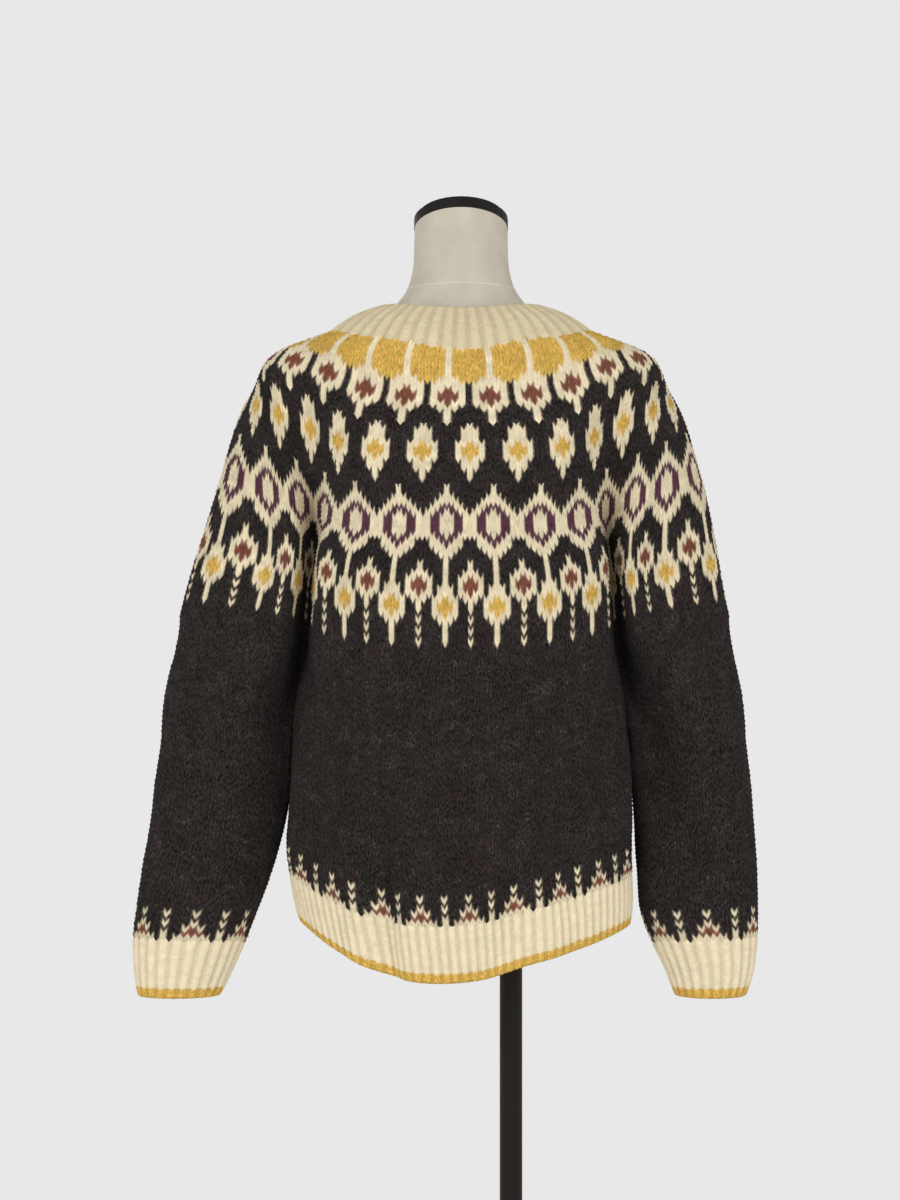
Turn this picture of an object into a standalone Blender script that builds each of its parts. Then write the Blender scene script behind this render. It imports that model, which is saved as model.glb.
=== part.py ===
"""Nordic round-yoke cardigan on a limbless dress form with a pole and a round base.

Metres, +Z up. The wearer faces -Y, so the back of the cardigan is towards +Y and the
wearer's left is +X. The floor is z = 0 and the origin lies under the form's neck.
"""

from math import cos, pi, radians, sin
from typing import NamedTuple

import bmesh
import bpy
import numpy as np
from mathutils import Matrix, Vector

MM = 0.001

# Knitting: the yoke has this many rows, and pattern repeats counted from the back centre.
YOKE_ROWS = 64
FRONT_EDGE = 13.5
BACK_CREASE = 3.7
FRONT_CREASE = 10.3

# Columns of the yoke's half at the back, over the arm and at the front.
BACK_SPANS = 8
ARM_SPANS = 14
FRONT_SPANS = 6
UNDERARM_SPANS = 5
ARM_FIRST = 3

# Cloth and seams, in millimetres.
KNIT_THICK = 3.0
RIB_THICK = 3.0
RIB_RELIEF = 1.2
SEAM_GAP = 0.8
BAND_GAP = 0.3
BAND_HALF_WIDTH = 15.0
BAND_THICK = 3.0
BAND_BEND = 0.7
ROW_PITCH = 4.7
BODY_LENGTH = 300.0
SLEEVE_LENGTH = 360.0
NECKBAND_DEPTH = 50.0
HEM_RIBS = 80
CUFF_RIBS = 24
NECK_RIBS = 54

# The share of the body's and sleeves' length where their ribs start.
HEM_START = 0.826
CUFF_START = 0.845

# How far the sleeves hang to the wearer's left of the middle.
YOKE_SWING = 6.5

BUTTONS = 7
BUTTON_RADIUS = 11.0
BUTTON_THICK = 4.0


class Ring(NamedTuple):
    """One row of the yoke: its wearer's-left half as nine points, in millimetres."""

    row: int
    back: tuple
    blade: tuple
    crease: tuple
    sleeve_back: tuple
    sleeve_outer: tuple
    sleeve_front: tuple
    front_crease: tuple
    chest: tuple
    front_edge: tuple


# Repeats from the back centre at which a Ring's nine points lie.
RING_AT = (0.0, 2.5, BACK_CREASE, 5.0, 7.0, 9.0, FRONT_CREASE, 12.0, FRONT_EDGE)

NECK_TOP = Ring(
    -10, (0, 62, 1363), (48, 55, 1366), (66, 44, 1368), (84, 20, 1367),
    (84, -22, 1354), (68, -58, 1330), (54, -74, 1312), (34, -86, 1296), (15.5, -92, 1286),
)
YOKE_RINGS = (
    Ring(
        0, (0, 88, 1319), (71, 73, 1331), (102, 52, 1336), (127, 22, 1343),
        (126, -35, 1330), (105, -75, 1300), (84, -92, 1282), (48, -110, 1258),
        (15.5, -119, 1242),
    ),
    Ring(
        10, (0, 108, 1272), (101, 80, 1284), (144, 58, 1306), (185, 13, 1318),
        (184, -45, 1306), (152, -88, 1270), (122, -108, 1248), (68, -131, 1216),
        (15.5, -137, 1200),
    ),
    Ring(
        22, (0, 122, 1219), (110, 92, 1227), (145, 47, 1243), (185, 48, 1261),
        (216, -22, 1273), (192, -84, 1238), (150, -92, 1208), (80, -135, 1164),
        (15.5, -143, 1148),
    ),
    Ring(
        37, (0, 127, 1149), (108, 107, 1153), (144, 55, 1166), (181, 62, 1180),
        (238, 0, 1203), (205, -76, 1172), (154, -74, 1142), (84, -128, 1094),
        (15.5, -141, 1080),
    ),
    Ring(
        50, (0, 126, 1089), (118, 99, 1100), (150, 52, 1113), (178, 66, 1117),
        (256, 6, 1133), (214, -68, 1110), (157, -56, 1084), (88, -118, 1034),
        (15.5, -136, 1020),
    ),
    Ring(
        64, (0, 122, 1017), (120, 96, 1026), (156, 42, 1041), (187, 67, 1051),
        (272, 6, 1062), (236, -58, 1050), (160, -40, 1026), (94, -106, 972),
        (15.5, -130, 958),
    ),
)


class Section(NamedTuple):
    """One level of the body, as a share of its length, in millimetres."""

    share: float
    half_width: float
    back: float
    front: float
    lean: float


BODY_SECTIONS = (
    Section(0.00, 166, 121, 122, 0.0),
    Section(0.15, 166, 120, 121, 1.0),
    Section(0.28, 165.5, 119, 119, 1.0),
    Section(0.456, 170.5, 118, 117, -0.5),
    Section(0.63, 174.3, 118, 115, 0.7),
    Section(0.743, 175, 118, 114, 2.0),
    Section(0.80, 174, 117, 113, 1.0),
    Section(0.86, 172.5, 116, 111, -0.5),
    Section(0.916, 171, 114, 109, -2.0),
    Section(1.00, 167, 114, 107, -4.0),
)
SQUARENESS = 0.9
# The hem's height at shares of the half ring, from the right front edge to the left one.
HEM_LINE = (
    (-1.00, 752), (-0.70, 755), (-0.40, 752), (-0.272, 739.5), (-0.166, 728), (-0.079, 715),
    (0.00, 709.5), (0.05, 708), (0.114, 709.5), (0.183, 713.5), (0.25, 725.5), (0.322, 738),
    (0.40, 752), (0.70, 757), (1.00, 752),
)
UNDERARM = (152, 2, 1017)
UNDERARM_DROP = 2.2
UNDERARM_SPLIT = 0.8


class Fold(NamedTuple):
    """A soft trough that runs down the body: place, width, depth and reach."""

    across: float
    width: float
    depth: float
    top: float
    bottom: float


# Places are millimetres from the back centre along the body's half ring.
BODY_FOLDS = (
    Fold(82, 26, -7, 0.30, 1.30),
    Fold(52, 20, 5, 0.45, 1.30),
    Fold(-42, 24, -6, 0.55, 1.40),
    Fold(-110, 30, -5, 0.15, 0.95),
    Fold(128, 24, -4, 0.05, 0.60),
    Fold(290, 40, -6, 0.20, 1.20),
    Fold(-300, 36, -6, 0.30, 1.20),
)


class SleeveLevel(NamedTuple):
    """One level of a sleeve, as a share of its length, in millimetres."""

    share: float
    centre_x: float
    half_width: float
    half_depth: float
    centre_y: float


LEFT_SLEEVE = (
    SleeveLevel(0.00, 235, 65, 60, 6),
    SleeveLevel(0.14, 237, 65, 56, 5),
    SleeveLevel(0.30, 234.5, 63.5, 51, 3),
    SleeveLevel(0.45, 240.3, 65.2, 46, 1),
    SleeveLevel(0.55, 245.8, 64.2, 41, 0),
    SleeveLevel(0.65, 254.5, 62.5, 37, -2),
    SleeveLevel(0.75, 263.8, 59.2, 33, -4),
    SleeveLevel(0.85, 272.8, 54.7, 30, -5),
    SleeveLevel(0.93, 278.3, 48.2, 28, -6),
    SleeveLevel(1.00, 282.5, 41, 27, -7),
)
RIGHT_SLEEVE = (
    SleeveLevel(0.00, 225.5, 58.5, 60, 6),
    SleeveLevel(0.14, 227.5, 58, 56, 5),
    SleeveLevel(0.30, 226.6, 56.4, 51, 3),
    SleeveLevel(0.45, 231.8, 57.3, 46, 1),
    SleeveLevel(0.55, 234, 58, 41, 0),
    SleeveLevel(0.65, 236.1, 58.9, 37, -2),
    SleeveLevel(0.75, 238.4, 58.1, 33, -4),
    SleeveLevel(0.85, 244.5, 51.5, 30, -5),
    SleeveLevel(0.93, 249.5, 43.5, 28, -6),
    SleeveLevel(1.00, 250, 35.5, 27, -7),
)
CUFF_Z = 681

# The dress form, in millimetres.
FORM_CLEAR = 1.3
BAND_ROOM = 7.0
NECK_RADIUS = 47
NECK_TILT = 20
NECK_TOP_Z = 1446
CAP_THICK = 15
# Height, half width, half depth and share of the tilt of the neck's rings.
NECK_LEVELS = (
    (NECK_TOP_Z, 46.5, 46.5, 1.0),
    (1412, 47.5, 46.5, 0.6),
    (1394, 51.0, 47.0, 0.3),
    (1381, 57.0, 48.0, 0.1),
)


class FormLevel(NamedTuple):
    """One level of the form's torso below the arms, in millimetres."""

    z: float
    half_width: float
    back: float
    front: float


FORM_LEVELS = (
    FormLevel(1000, 132, 100, 104),
    FormLevel(930, 128, 96, 97),
    FormLevel(860, 138, 102, 98),
    FormLevel(800, 146, 104, 97),
    FormLevel(775, 146, 103, 95),
    FormLevel(766, 138, 96, 88),
)

# The stand, in millimetres.
POLE_X = -50
POLE_RADIUS = 11.3
BASE_PROFILE = ((160, 0), (160, 12), (156, 18), (148, 21), (40, 24), (24, 30), (21, 48))
BASE_TOP = 48


def hermite(keys, values, at):
    """Smooth curve through values at keys, read at each place in at."""
    keys = np.asarray(keys, float)
    values = np.asarray(values, float)
    at = np.asarray(at, float)
    steps = np.diff(keys)
    shape = (-1,) + (1,) * (values.ndim - 1)
    slopes = np.diff(values, axis=0) / steps.reshape(shape)
    tangents = np.empty_like(values)
    tangents[0] = slopes[0]
    tangents[-1] = slopes[-1]
    before = steps[:-1].reshape(shape)
    after = steps[1:].reshape(shape)
    tangents[1:-1] = (slopes[:-1] * after + slopes[1:] * before) / (before + after)
    i = np.clip(np.searchsorted(keys, at, side="right") - 1, 0, len(keys) - 2)
    h = steps[i].reshape(shape)
    t = ((at - keys[i]) / steps[i]).reshape(shape)
    start = (2 * t**3 - 3 * t**2 + 1) * values[i] + (t**3 - 2 * t**2 + t) * h * tangents[i]
    end = (3 * t**2 - 2 * t**3) * values[i + 1] + (t**3 - t**2) * h * tangents[i + 1]
    return start + end


def smooth_step(t):
    t = np.clip(t, 0.0, 1.0)
    return t * t * (3 - 2 * t)


def mirrored_keys(rings):
    """Ring points with the first repeat mirrored too, so that the back centre is smooth."""
    points = np.array([ring[1:] for ring in rings], float)
    mirror = points[:, 1:2] * np.array([-1.0, 1.0, 1.0])
    return np.concatenate([mirror, points], axis=1)


def yoke_grid(rows, across):
    """Yoke points at each row and each place across, in repeats, negative on the right."""
    rows = np.asarray(rows, float)
    across = np.asarray(across, float)
    table = mirrored_keys(YOKE_RINGS)
    lines = hermite([ring.row for ring in YOKE_RINGS], table, rows)
    keys = (-RING_AT[1],) + RING_AT
    grid = hermite(keys, lines.transpose(1, 0, 2), np.abs(across)).transpose(1, 0, 2)
    grid[..., 0] *= np.where(across < 0, -1.0, 1.0)
    grid[..., 0] += swing_of(rows, np.abs(across))
    return grid


def swing_of(rows, across):
    """How far the sleeves' swing moves each yoke point."""
    arm = smooth_step((across - BACK_CREASE) / 2) * smooth_step((FRONT_CREASE - across) / 2)
    return YOKE_SWING * arm[None, :] * smooth_step((rows[:, None] - 37) / 27)


def neckband_grid(shares, across):
    """Neckband points from the seam, share 0, to the top edge, share 1."""
    shares = np.asarray(shares, float)
    across = np.asarray(across, float)
    keys = (-RING_AT[1],) + RING_AT
    table = mirrored_keys((NECK_TOP,))[0]
    top = hermite(keys, table, np.abs(across))
    top[:, 0] *= np.where(across < 0, -1.0, 1.0)
    seam = yoke_grid([0.0], across)[0]
    out = seam - np.array([0.0, 0.0, 1290.0])
    out /= np.linalg.norm(out, axis=1)[:, None]
    bulge = 4.0 * np.sin(pi * shares)[:, None, None]
    return seam + (top - seam) * shares[:, None, None] + out * bulge


def along(points, places):
    """Points read at millimetres along a dense line of points."""
    steps = np.linalg.norm(np.diff(points, axis=0), axis=1)
    run = np.concatenate([[0.0], np.cumsum(steps)])
    return np.stack([np.interp(places, run, points[:, i]) for i in range(3)], axis=1)


def length_of(points):
    return float(np.linalg.norm(np.diff(points, axis=0), axis=1).sum())


def underarm_line(side, first, last, outward, count=24):
    """The underarm from one crease to the other, through its middle point."""
    x, y, z = UNDERARM
    middle = np.array([side * (x + outward), y, z])
    return hermite((0.0, 0.5, 1.0), np.array([first, middle, last]), np.linspace(0, 1, count))


def body_top_line(side):
    """Top edge of the body's half, from the back centre to the front edge."""
    back = yoke_grid([YOKE_ROWS], side * np.linspace(0, BACK_CREASE, 7 * BACK_SPANS + 1))[0]
    front = yoke_grid([YOKE_ROWS], side * np.linspace(FRONT_CREASE, FRONT_EDGE, 7 * FRONT_SPANS + 1))[0]
    arm = underarm_line(side, back[-1], front[0], -UNDERARM_SPLIT)
    arm[:, 0] -= side * SEAM_GAP
    arm[:, 2] -= UNDERARM_DROP
    return np.concatenate([back[:-1], arm, front[1:]])


def section_line(side, level, count=200):
    """A body section's half, from the back centre to the front edge."""
    _, half_width, back, front, lean = level
    edge = (BAND_HALF_WIDTH + 0.5) / half_width
    turn = np.linspace(0, pi - np.arcsin(edge ** (1 / SQUARENESS)), count)
    depth = np.where(turn < pi / 2, back, front)
    x = half_width * np.abs(np.sin(turn)) ** SQUARENESS
    y = depth * np.sign(np.cos(turn)) * np.abs(np.cos(turn)) ** SQUARENESS
    x = side * x + lean * smooth_step((1 - np.linspace(0, 1, count)) / 0.3)
    return np.stack([x, y, np.zeros(count)], axis=1)


def body_grid(shares, across):
    """Body points: share 0 at the underarm to 1 at the hem; across runs from -1 to 1."""
    shares = np.asarray(shares, float)
    across = np.asarray(across, float)
    grid = np.empty((len(shares), len(across), 3))
    hem_z = hermite([place for place, _ in HEM_LINE], np.array([z for _, z in HEM_LINE]), across)
    table = np.array([level[1:] for level in BODY_SECTIONS])
    levels = hermite([level.share for level in BODY_SECTIONS], table, shares)
    for side in (-1, 1):
        mine = (across >= 0) if side > 0 else (across < 0)
        share_across = np.abs(across[mine])
        top_line = body_top_line(side)
        top = along(top_line, share_across * length_of(top_line))
        for r, share in enumerate(shares):
            line = section_line(side, (share, *levels[r]))
            low = along(line, share_across * length_of(line))
            mix = smooth_step(share / 0.30)
            point = top * (1 - mix) + low * mix
            point[:, 2] = top[:, 2] + (hem_z[mine] - top[:, 2]) * share
            push = np.zeros(len(share_across))
            half = length_of(line)
            for fold in BODY_FOLDS:
                if (fold.across > 0) != (side > 0):
                    continue
                near = np.exp(-(((share_across * half - abs(fold.across)) / fold.width) ** 2))
                reach = smooth_step((share - fold.top) / 0.35) * smooth_step((fold.bottom - share) / 0.3)
                push += fold.depth * near * reach
            out = point[:, :2] / np.linalg.norm(point[:, :2], axis=1)[:, None]
            point[:, :2] += out * push[:, None]
            grid[r, mine] = point
    return grid


def sleeve_top_line(side):
    """Top edge of a sleeve: from the underarm's middle round the back, outer side and front."""
    over = yoke_grid([YOKE_ROWS], side * np.linspace(BACK_CREASE, FRONT_CREASE, 7 * ARM_SPANS + 1))[0]
    arm = underarm_line(side, over[-1], over[0], UNDERARM_SPLIT, 25)
    arm[:, 0] += side * SEAM_GAP
    return np.concatenate([arm[12:], over[1:-1], arm[:13]])


def sleeve_grid(side, shares, around):
    """Sleeve points: share 0 at the underarm to 1 at the cuff's edge; around runs 0 to 1."""
    shares = np.asarray(shares, float)
    around = np.asarray(around, float)
    table = LEFT_SLEEVE if side > 0 else RIGHT_SLEEVE
    values = hermite([level.share for level in table], np.array([level[1:] for level in table]), shares)
    top_line = sleeve_top_line(side)
    top = along(top_line, around * length_of(top_line))
    turn = 2 * pi * around
    grid = np.empty((len(shares), len(around), 3))
    for r, share in enumerate(shares):
        centre_x, half_width, half_depth, centre_y = values[r]
        low_x = side * (centre_x - half_width * np.cos(turn))
        low_y = centre_y + half_depth * np.sin(turn)
        mix = smooth_step(share / 0.30)
        grid[r, :, 0] = top[:, 0] * (1 - mix) + low_x * mix
        grid[r, :, 1] = top[:, 1] * (1 - mix) + low_y * mix
        grid[r, :, 2] = top[:, 2] + (CUFF_Z - top[:, 2]) * share
    return grid


def grid_normals(grid, closed):
    """Outward unit normals; rows run down, columns run to -X at the back, front edges face -Y."""
    down = np.gradient(grid, axis=0)
    if closed:
        right = np.roll(grid, -1, axis=1) - np.roll(grid, 1, axis=1)
    else:
        right = np.gradient(grid, axis=1)
    normal = np.cross(down, right)
    if not closed:
        normal[:, [0, -1], 0] = 0
    return normal / np.linalg.norm(normal, axis=2)[..., None]


def material(name, color, roughness, metallic=0.0):
    made = bpy.data.materials.new(name)
    made.use_nodes = True
    shader = made.node_tree.nodes["Principled BSDF"]
    shader.inputs["Base Color"].default_value = (*color, 1)
    shader.inputs["Roughness"].default_value = roughness
    shader.inputs["Metallic"].default_value = metallic
    return made


def add_object(name, verts, faces, finish, smooth=True):
    mesh = bpy.data.meshes.new(name)
    bm = bmesh.new()
    made = [bm.verts.new(Vector(v) * MM) for v in verts]
    for face in faces:
        bm.faces.new([made[i] for i in face])
    bmesh.ops.recalc_face_normals(bm, faces=bm.faces)
    bm.to_mesh(mesh)
    bm.free()
    mesh.materials.append(finish)
    if smooth:
        mesh.shade_smooth()
        mesh.set_sharp_from_angle(angle=radians(50))
    piece = bpy.data.objects.new(name, mesh)
    bpy.context.scene.collection.objects.link(piece)
    return piece


def add_wall(name, grid, thick, finish, closed=False, relief=None, normals=None):
    """A cloth wall: the grid is its outer side, and its inner side lies thick behind it."""
    rows, columns, _ = grid.shape
    if normals is None:
        normals = grid_normals(grid, closed)
    outer = grid if relief is None else grid + normals * relief[..., None]
    inner = grid - normals * thick
    verts = np.concatenate([outer.reshape(-1, 3), inner.reshape(-1, 3)])
    back = rows * columns
    faces = []
    spans = columns if closed else columns - 1
    for r in range(rows - 1):
        for c in range(spans):
            a = r * columns + c
            b = r * columns + (c + 1) % columns
            faces.append((a, b, b + columns, a + columns))
            faces.append((back + a, back + a + columns, back + b + columns, back + b))
    for c in range(spans):
        a = c
        b = (c + 1) % columns
        faces.append((b, a, back + a, back + b))
        last = (rows - 1) * columns
        faces.append((last + a, last + b, back + last + b, back + last + a))
    if not closed:
        for r in range(rows - 1):
            a = r * columns
            faces.append((a, a + columns, back + a + columns, back + a))
            b = a + columns - 1
            faces.append((b + columns, b, back + b, back + b + columns))
    return add_object(name, verts, faces, finish)


def rib_relief(rows, columns, fade_rows=0):
    """Knit columns stand up and purl columns stay back, one after the other."""
    relief = np.zeros((rows, columns))
    relief[:, ::2] = RIB_RELIEF
    if fade_rows:
        relief[:fade_rows] *= 0.3
    return relief


def spread(stops, counts):
    """Evenly spread places between stops, with the stops themselves."""
    parts = [np.linspace(a, b, n, endpoint=False) for a, b, n in zip(stops, stops[1:], counts)]
    return np.concatenate(parts + [[stops[-1]]])


def both_sides(half):
    """Places from the left front edge round the back to the right front edge."""
    return np.concatenate([half[::-1], -half[1:]])


def yoke_columns():
    half = spread((0.0, BACK_CREASE, FRONT_CREASE, FRONT_EDGE), (BACK_SPANS, ARM_SPANS, FRONT_SPANS))
    return both_sides(half)


def body_columns():
    """The body's columns meet the yoke's at the seam."""
    stops = []
    line = body_top_line(1)
    for part, count in (((0.0, BACK_CREASE), BACK_SPANS), ((FRONT_CREASE, FRONT_EDGE), FRONT_SPANS)):
        places = np.linspace(*part, count + 1)
        points = yoke_grid([YOKE_ROWS], places)[0]
        run = np.concatenate([[0.0], np.cumsum(np.linalg.norm(np.diff(line, axis=0), axis=1))])
        nearest = [run[np.argmin(np.linalg.norm(line - point, axis=1))] for point in points]
        stops.append(np.array(nearest) / run[-1])
    under = np.linspace(stops[0][-1], stops[1][0], UNDERARM_SPANS + 1)[1:-1]
    return both_sides(np.concatenate([stops[0], under, stops[1]]))


def sleeve_columns(side):
    line = sleeve_top_line(side)
    run = np.concatenate([[0.0], np.cumsum(np.linalg.norm(np.diff(line, axis=0), axis=1))])
    places = side * np.linspace(BACK_CREASE, FRONT_CREASE, ARM_SPANS + 1)
    points = yoke_grid([YOKE_ROWS], places)[0]
    over = np.array([run[np.argmin(np.linalg.norm(line - point, axis=1))] for point in points]) / run[-1]
    before = np.linspace(0, over[0], ARM_FIRST + 1)[:-1]
    after = np.linspace(over[-1], 1, 4)[1:-1]
    return np.concatenate([before, over, after])


def yoke_rows():
    gap_rows = SEAM_GAP / 2 / ROW_PITCH
    return spread((gap_rows, 10, 22, 37, 50, YOKE_ROWS - gap_rows), (2, 2, 3, 2, 2))


def body_shares():
    return spread((SEAM_GAP / 2 / BODY_LENGTH, 0.3, HEM_START), (4, 5))


def hem_shares():
    return np.linspace(HEM_START + SEAM_GAP / BODY_LENGTH, 1.0, 3)


def neckband_shares():
    return np.linspace(1.0, SEAM_GAP / NECKBAND_DEPTH, 4)


def level(normals):
    """Normals turned level, so that the edges that meet at a seam stay apart."""
    flat = normals * np.array([1.0, 1.0, 0.0])
    return flat / np.linalg.norm(flat, axis=1)[:, None]


def yoke_normals():
    normals = grid_normals(yoke_grid(yoke_rows(), yoke_columns()), False)
    normals[-1] = level(normals[-1])
    return normals


def build_yoke(wool):
    grid = yoke_grid(yoke_rows(), yoke_columns())
    add_wall("yoke", grid, KNIT_THICK, wool, normals=yoke_normals())


def build_body(wool, cream):
    grid = body_grid(body_shares(), body_columns())
    normals = grid_normals(grid, False)
    normals[0] = level(normals[0])
    middle = (len(body_columns()) - 1) // 2
    yoke_middle = (len(yoke_columns()) - 1) // 2
    over_arm = ARM_SPANS - UNDERARM_SPANS
    for j in range(middle + 1):
        if j < BACK_SPANS or j > BACK_SPANS + UNDERARM_SPANS:
            seam = j if j < BACK_SPANS else j + over_arm
            for side in (-1, 1):
                normals[0, middle + side * j] = yoke_normals()[-1, yoke_middle + side * seam]
    add_wall("body", grid, KNIT_THICK, wool, normals=normals)
    shares = hem_shares()
    columns = np.linspace(1, -1, 2 * HEM_RIBS + 1)
    relief = rib_relief(len(shares), len(columns), 1)
    add_wall("hem_rib", body_grid(shares, columns), RIB_THICK, cream, relief=relief)


def build_sleeve(side, wool, cream):
    label = "left" if side > 0 else "right"
    columns = sleeve_columns(side)
    if side > 0:
        columns = columns[::-1]
    shares = spread((SEAM_GAP / 2 / SLEEVE_LENGTH, 0.3, CUFF_START), (4, 5))
    grid = sleeve_grid(side, shares, columns)
    normals = grid_normals(grid, True)
    normals[0] = level(normals[0])
    yoke_middle = (len(yoke_columns()) - 1) // 2
    for j in range(1, ARM_SPANS):
        column = ARM_FIRST + j
        if side > 0:
            column = len(columns) - 1 - column
        normals[0, column] = yoke_normals()[-1, yoke_middle - side * (BACK_SPANS + j)]
    add_wall("sleeve_" + label, grid, KNIT_THICK, wool, closed=True, normals=normals)
    shares = np.linspace(CUFF_START + SEAM_GAP / SLEEVE_LENGTH, 1.0, 3)
    around = np.linspace(0, 1, 2 * CUFF_RIBS, endpoint=False)
    if side > 0:
        around = around[::-1]
    relief = rib_relief(len(shares), len(around), 1)
    grid = sleeve_grid(side, shares, around)
    add_wall("cuff_" + label, grid, RIB_THICK, cream, closed=True, relief=relief)


def build_neckband(cream):
    across = np.linspace(FRONT_EDGE, -FRONT_EDGE, 2 * NECK_RIBS + 1)
    shares = neckband_shares()
    relief = rib_relief(len(shares), len(across))
    relief[-1] *= 0.3
    add_wall("neckband", neckband_grid(shares, across), RIB_THICK, cream, relief=relief)


def front_profile():
    """The front edge from the neckband's top to the hem, as depth and height."""
    neck = neckband_grid(neckband_shares(), [FRONT_EDGE])[:, 0]
    yoke = yoke_grid(yoke_rows(), [FRONT_EDGE])[:, 0]
    body = body_grid(np.concatenate([body_shares()[1:], hem_shares()[1:]]), [1.0])[:, 0]
    return np.concatenate([neck[:-1], yoke, body])[:, 1:]


def profile_normals(profile):
    run = np.gradient(profile, axis=0)
    run /= np.linalg.norm(run, axis=1)[:, None]
    return np.stack([run[:, 1], -run[:, 0]], axis=1)


def build_front_bands(cream, shell):
    """The right band lies over the left one, level with the fronts, and carries the buttons."""
    profile = front_profile()
    normals = profile_normals(profile)
    upper = np.linspace(-BAND_HALF_WIDTH, BAND_HALF_WIDTH, 5)
    under = np.linspace(-BAND_HALF_WIDTH + 2, BAND_HALF_WIDTH + 4, 5)
    sink = KNIT_THICK + BAND_GAP + 0.2
    strips = (("band_right", upper, 0.0), ("band_left", under, sink))
    for name, places, depth in strips:
        grid = np.zeros((len(profile), len(places), 3))
        grid[..., 0] = places[None, ::-1]
        bend = depth + np.where(places[::-1] > BAND_HALF_WIDTH, BAND_BEND, 0.0)
        grid[..., 1:] = profile[:, None, :] - normals[:, None, :] * (bend * (depth > 0))[None, :, None]
        outward = np.zeros_like(grid)
        outward[..., 1:] = normals[:, None, :]
        add_wall(name, grid, BAND_THICK, cream, normals=outward)
    run = np.concatenate([[0.0], np.cumsum(np.linalg.norm(np.diff(profile, axis=0), axis=1))])
    for number, place in enumerate(np.linspace(16, run[-1] - 22, BUTTONS), 1):
        y, z = (np.interp(place, run, profile[:, i]) for i in range(2))
        slope = [np.interp(place, run, normals[:, i]) for i in range(2)]
        add_button("button_" + str(number), y, z, Vector((0, *slope)).normalized(), shell)


def add_button(name, y, z, outward, finish):
    centre = Vector((0, y, z)) + outward * (BAND_GAP + BUTTON_THICK / 2 + 0.2)
    mesh = bpy.data.meshes.new(name)
    bm = bmesh.new()
    radius = BUTTON_RADIUS * MM
    bmesh.ops.create_cone(
        bm, cap_ends=True, segments=20, radius1=radius, radius2=radius, depth=BUTTON_THICK * MM
    )
    rims = [e for e in bm.edges if abs(e.verts[0].co.z - e.verts[1].co.z) < 1e-6]
    bmesh.ops.bevel(bm, geom=rims, offset=0.9 * MM, segments=1, affect="EDGES")
    turn = Vector((0, 0, 1)).rotation_difference(outward).to_matrix().to_4x4()
    bm.transform(Matrix.Translation(centre * MM) @ turn)
    bm.to_mesh(mesh)
    bm.free()
    mesh.materials.append(finish)
    mesh.shade_smooth()
    mesh.set_sharp_from_angle(angle=radians(30))
    piece = bpy.data.objects.new(name, mesh)
    bpy.context.scene.collection.objects.link(piece)


def closed_half_ring(half):
    """A closed ring from its left half, back centre first, with the front centre added."""
    front = half[-1] * np.array([0.0, 1.0, 1.0])
    right = half[1:][::-1] * np.array([-1.0, 1.0, 1.0])
    return np.concatenate([half, [front], right])


def form_rings():
    """The torso's rings, top to bottom: neck, shoulders under the cloth, chest and hips."""
    spans = (BACK_SPANS // 2, ARM_SPANS // 2, FRONT_SPANS // 2)
    half = spread((0.0, BACK_CREASE, FRONT_CREASE, FRONT_EDGE), spans)
    turn = np.linspace(0, pi, len(half) + 1)[:-1]
    rings = []
    for z, half_width, half_depth, tilt in NECK_LEVELS:
        x = half_width * np.sin(turn)
        y = half_depth * np.cos(turn)
        lean = np.tan(radians(NECK_TILT)) * tilt
        rings.append(closed_half_ring(np.stack([x, y, z + lean * y], axis=1)))
    shares = np.array([1.0, 0.6, 0.2, 0.0])
    band = neckband_grid(shares, half)
    away = grid_normals(neckband_grid(shares, half[::-1]), False)[:, ::-1]
    behind_band = BAND_ROOM * smooth_step((half - 10.6) / 1.4)[:, None]
    for r, depth in ((0, 12.0), (1, 9.0), (2, 6.5)):
        rings.append(closed_half_ring(band[r] - away[r] * (depth + behind_band)))
    rows = np.array([0.0, 5.0, 10.0, 16.0, 22.0, 37.0, 50.0, 64.0])
    yoke = yoke_grid(rows, half)
    yoke[..., 0] -= swing_of(rows, half)
    away = grid_normals(yoke_grid(rows, half[::-1]), False)[:, ::-1]
    back = int(np.argmin(np.abs(half - BACK_CREASE))) - 1
    front = int(np.argmin(np.abs(half - FRONT_CREASE))) + 1
    snug = KNIT_THICK + FORM_CLEAR
    depths = (snug + 1.5, snug, snug, 7.0, 9.0, 10.0, 12.0, 14.0)
    bulges = (None, None, None, 46.0, 26.0, 22.0, 20.0, 18.0)
    for r, (depth, bulge) in enumerate(zip(depths, bulges)):
        ring = yoke[r] - away[r] * (depth + behind_band)
        if bulge is not None:
            share = np.linspace(0, 1, front - back + 1)[1:-1]
            line = ring[back] + (ring[front] - ring[back]) * share[:, None]
            line[:, 0] += bulge * np.sin(pi * share)
            line[:, 2] += 12 * np.sin(pi * share)
            ring[back + 1:front] = line
        rings.append(closed_half_ring(ring))
    for z, half_width, depth_back, depth_front in FORM_LEVELS:
        depth = np.where(turn < pi / 2, depth_back, depth_front)
        x = half_width * np.sin(turn)
        y = depth * np.cos(turn)
        rings.append(closed_half_ring(np.stack([x, y, np.full(len(turn), z)], axis=1)))
    return rings


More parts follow.
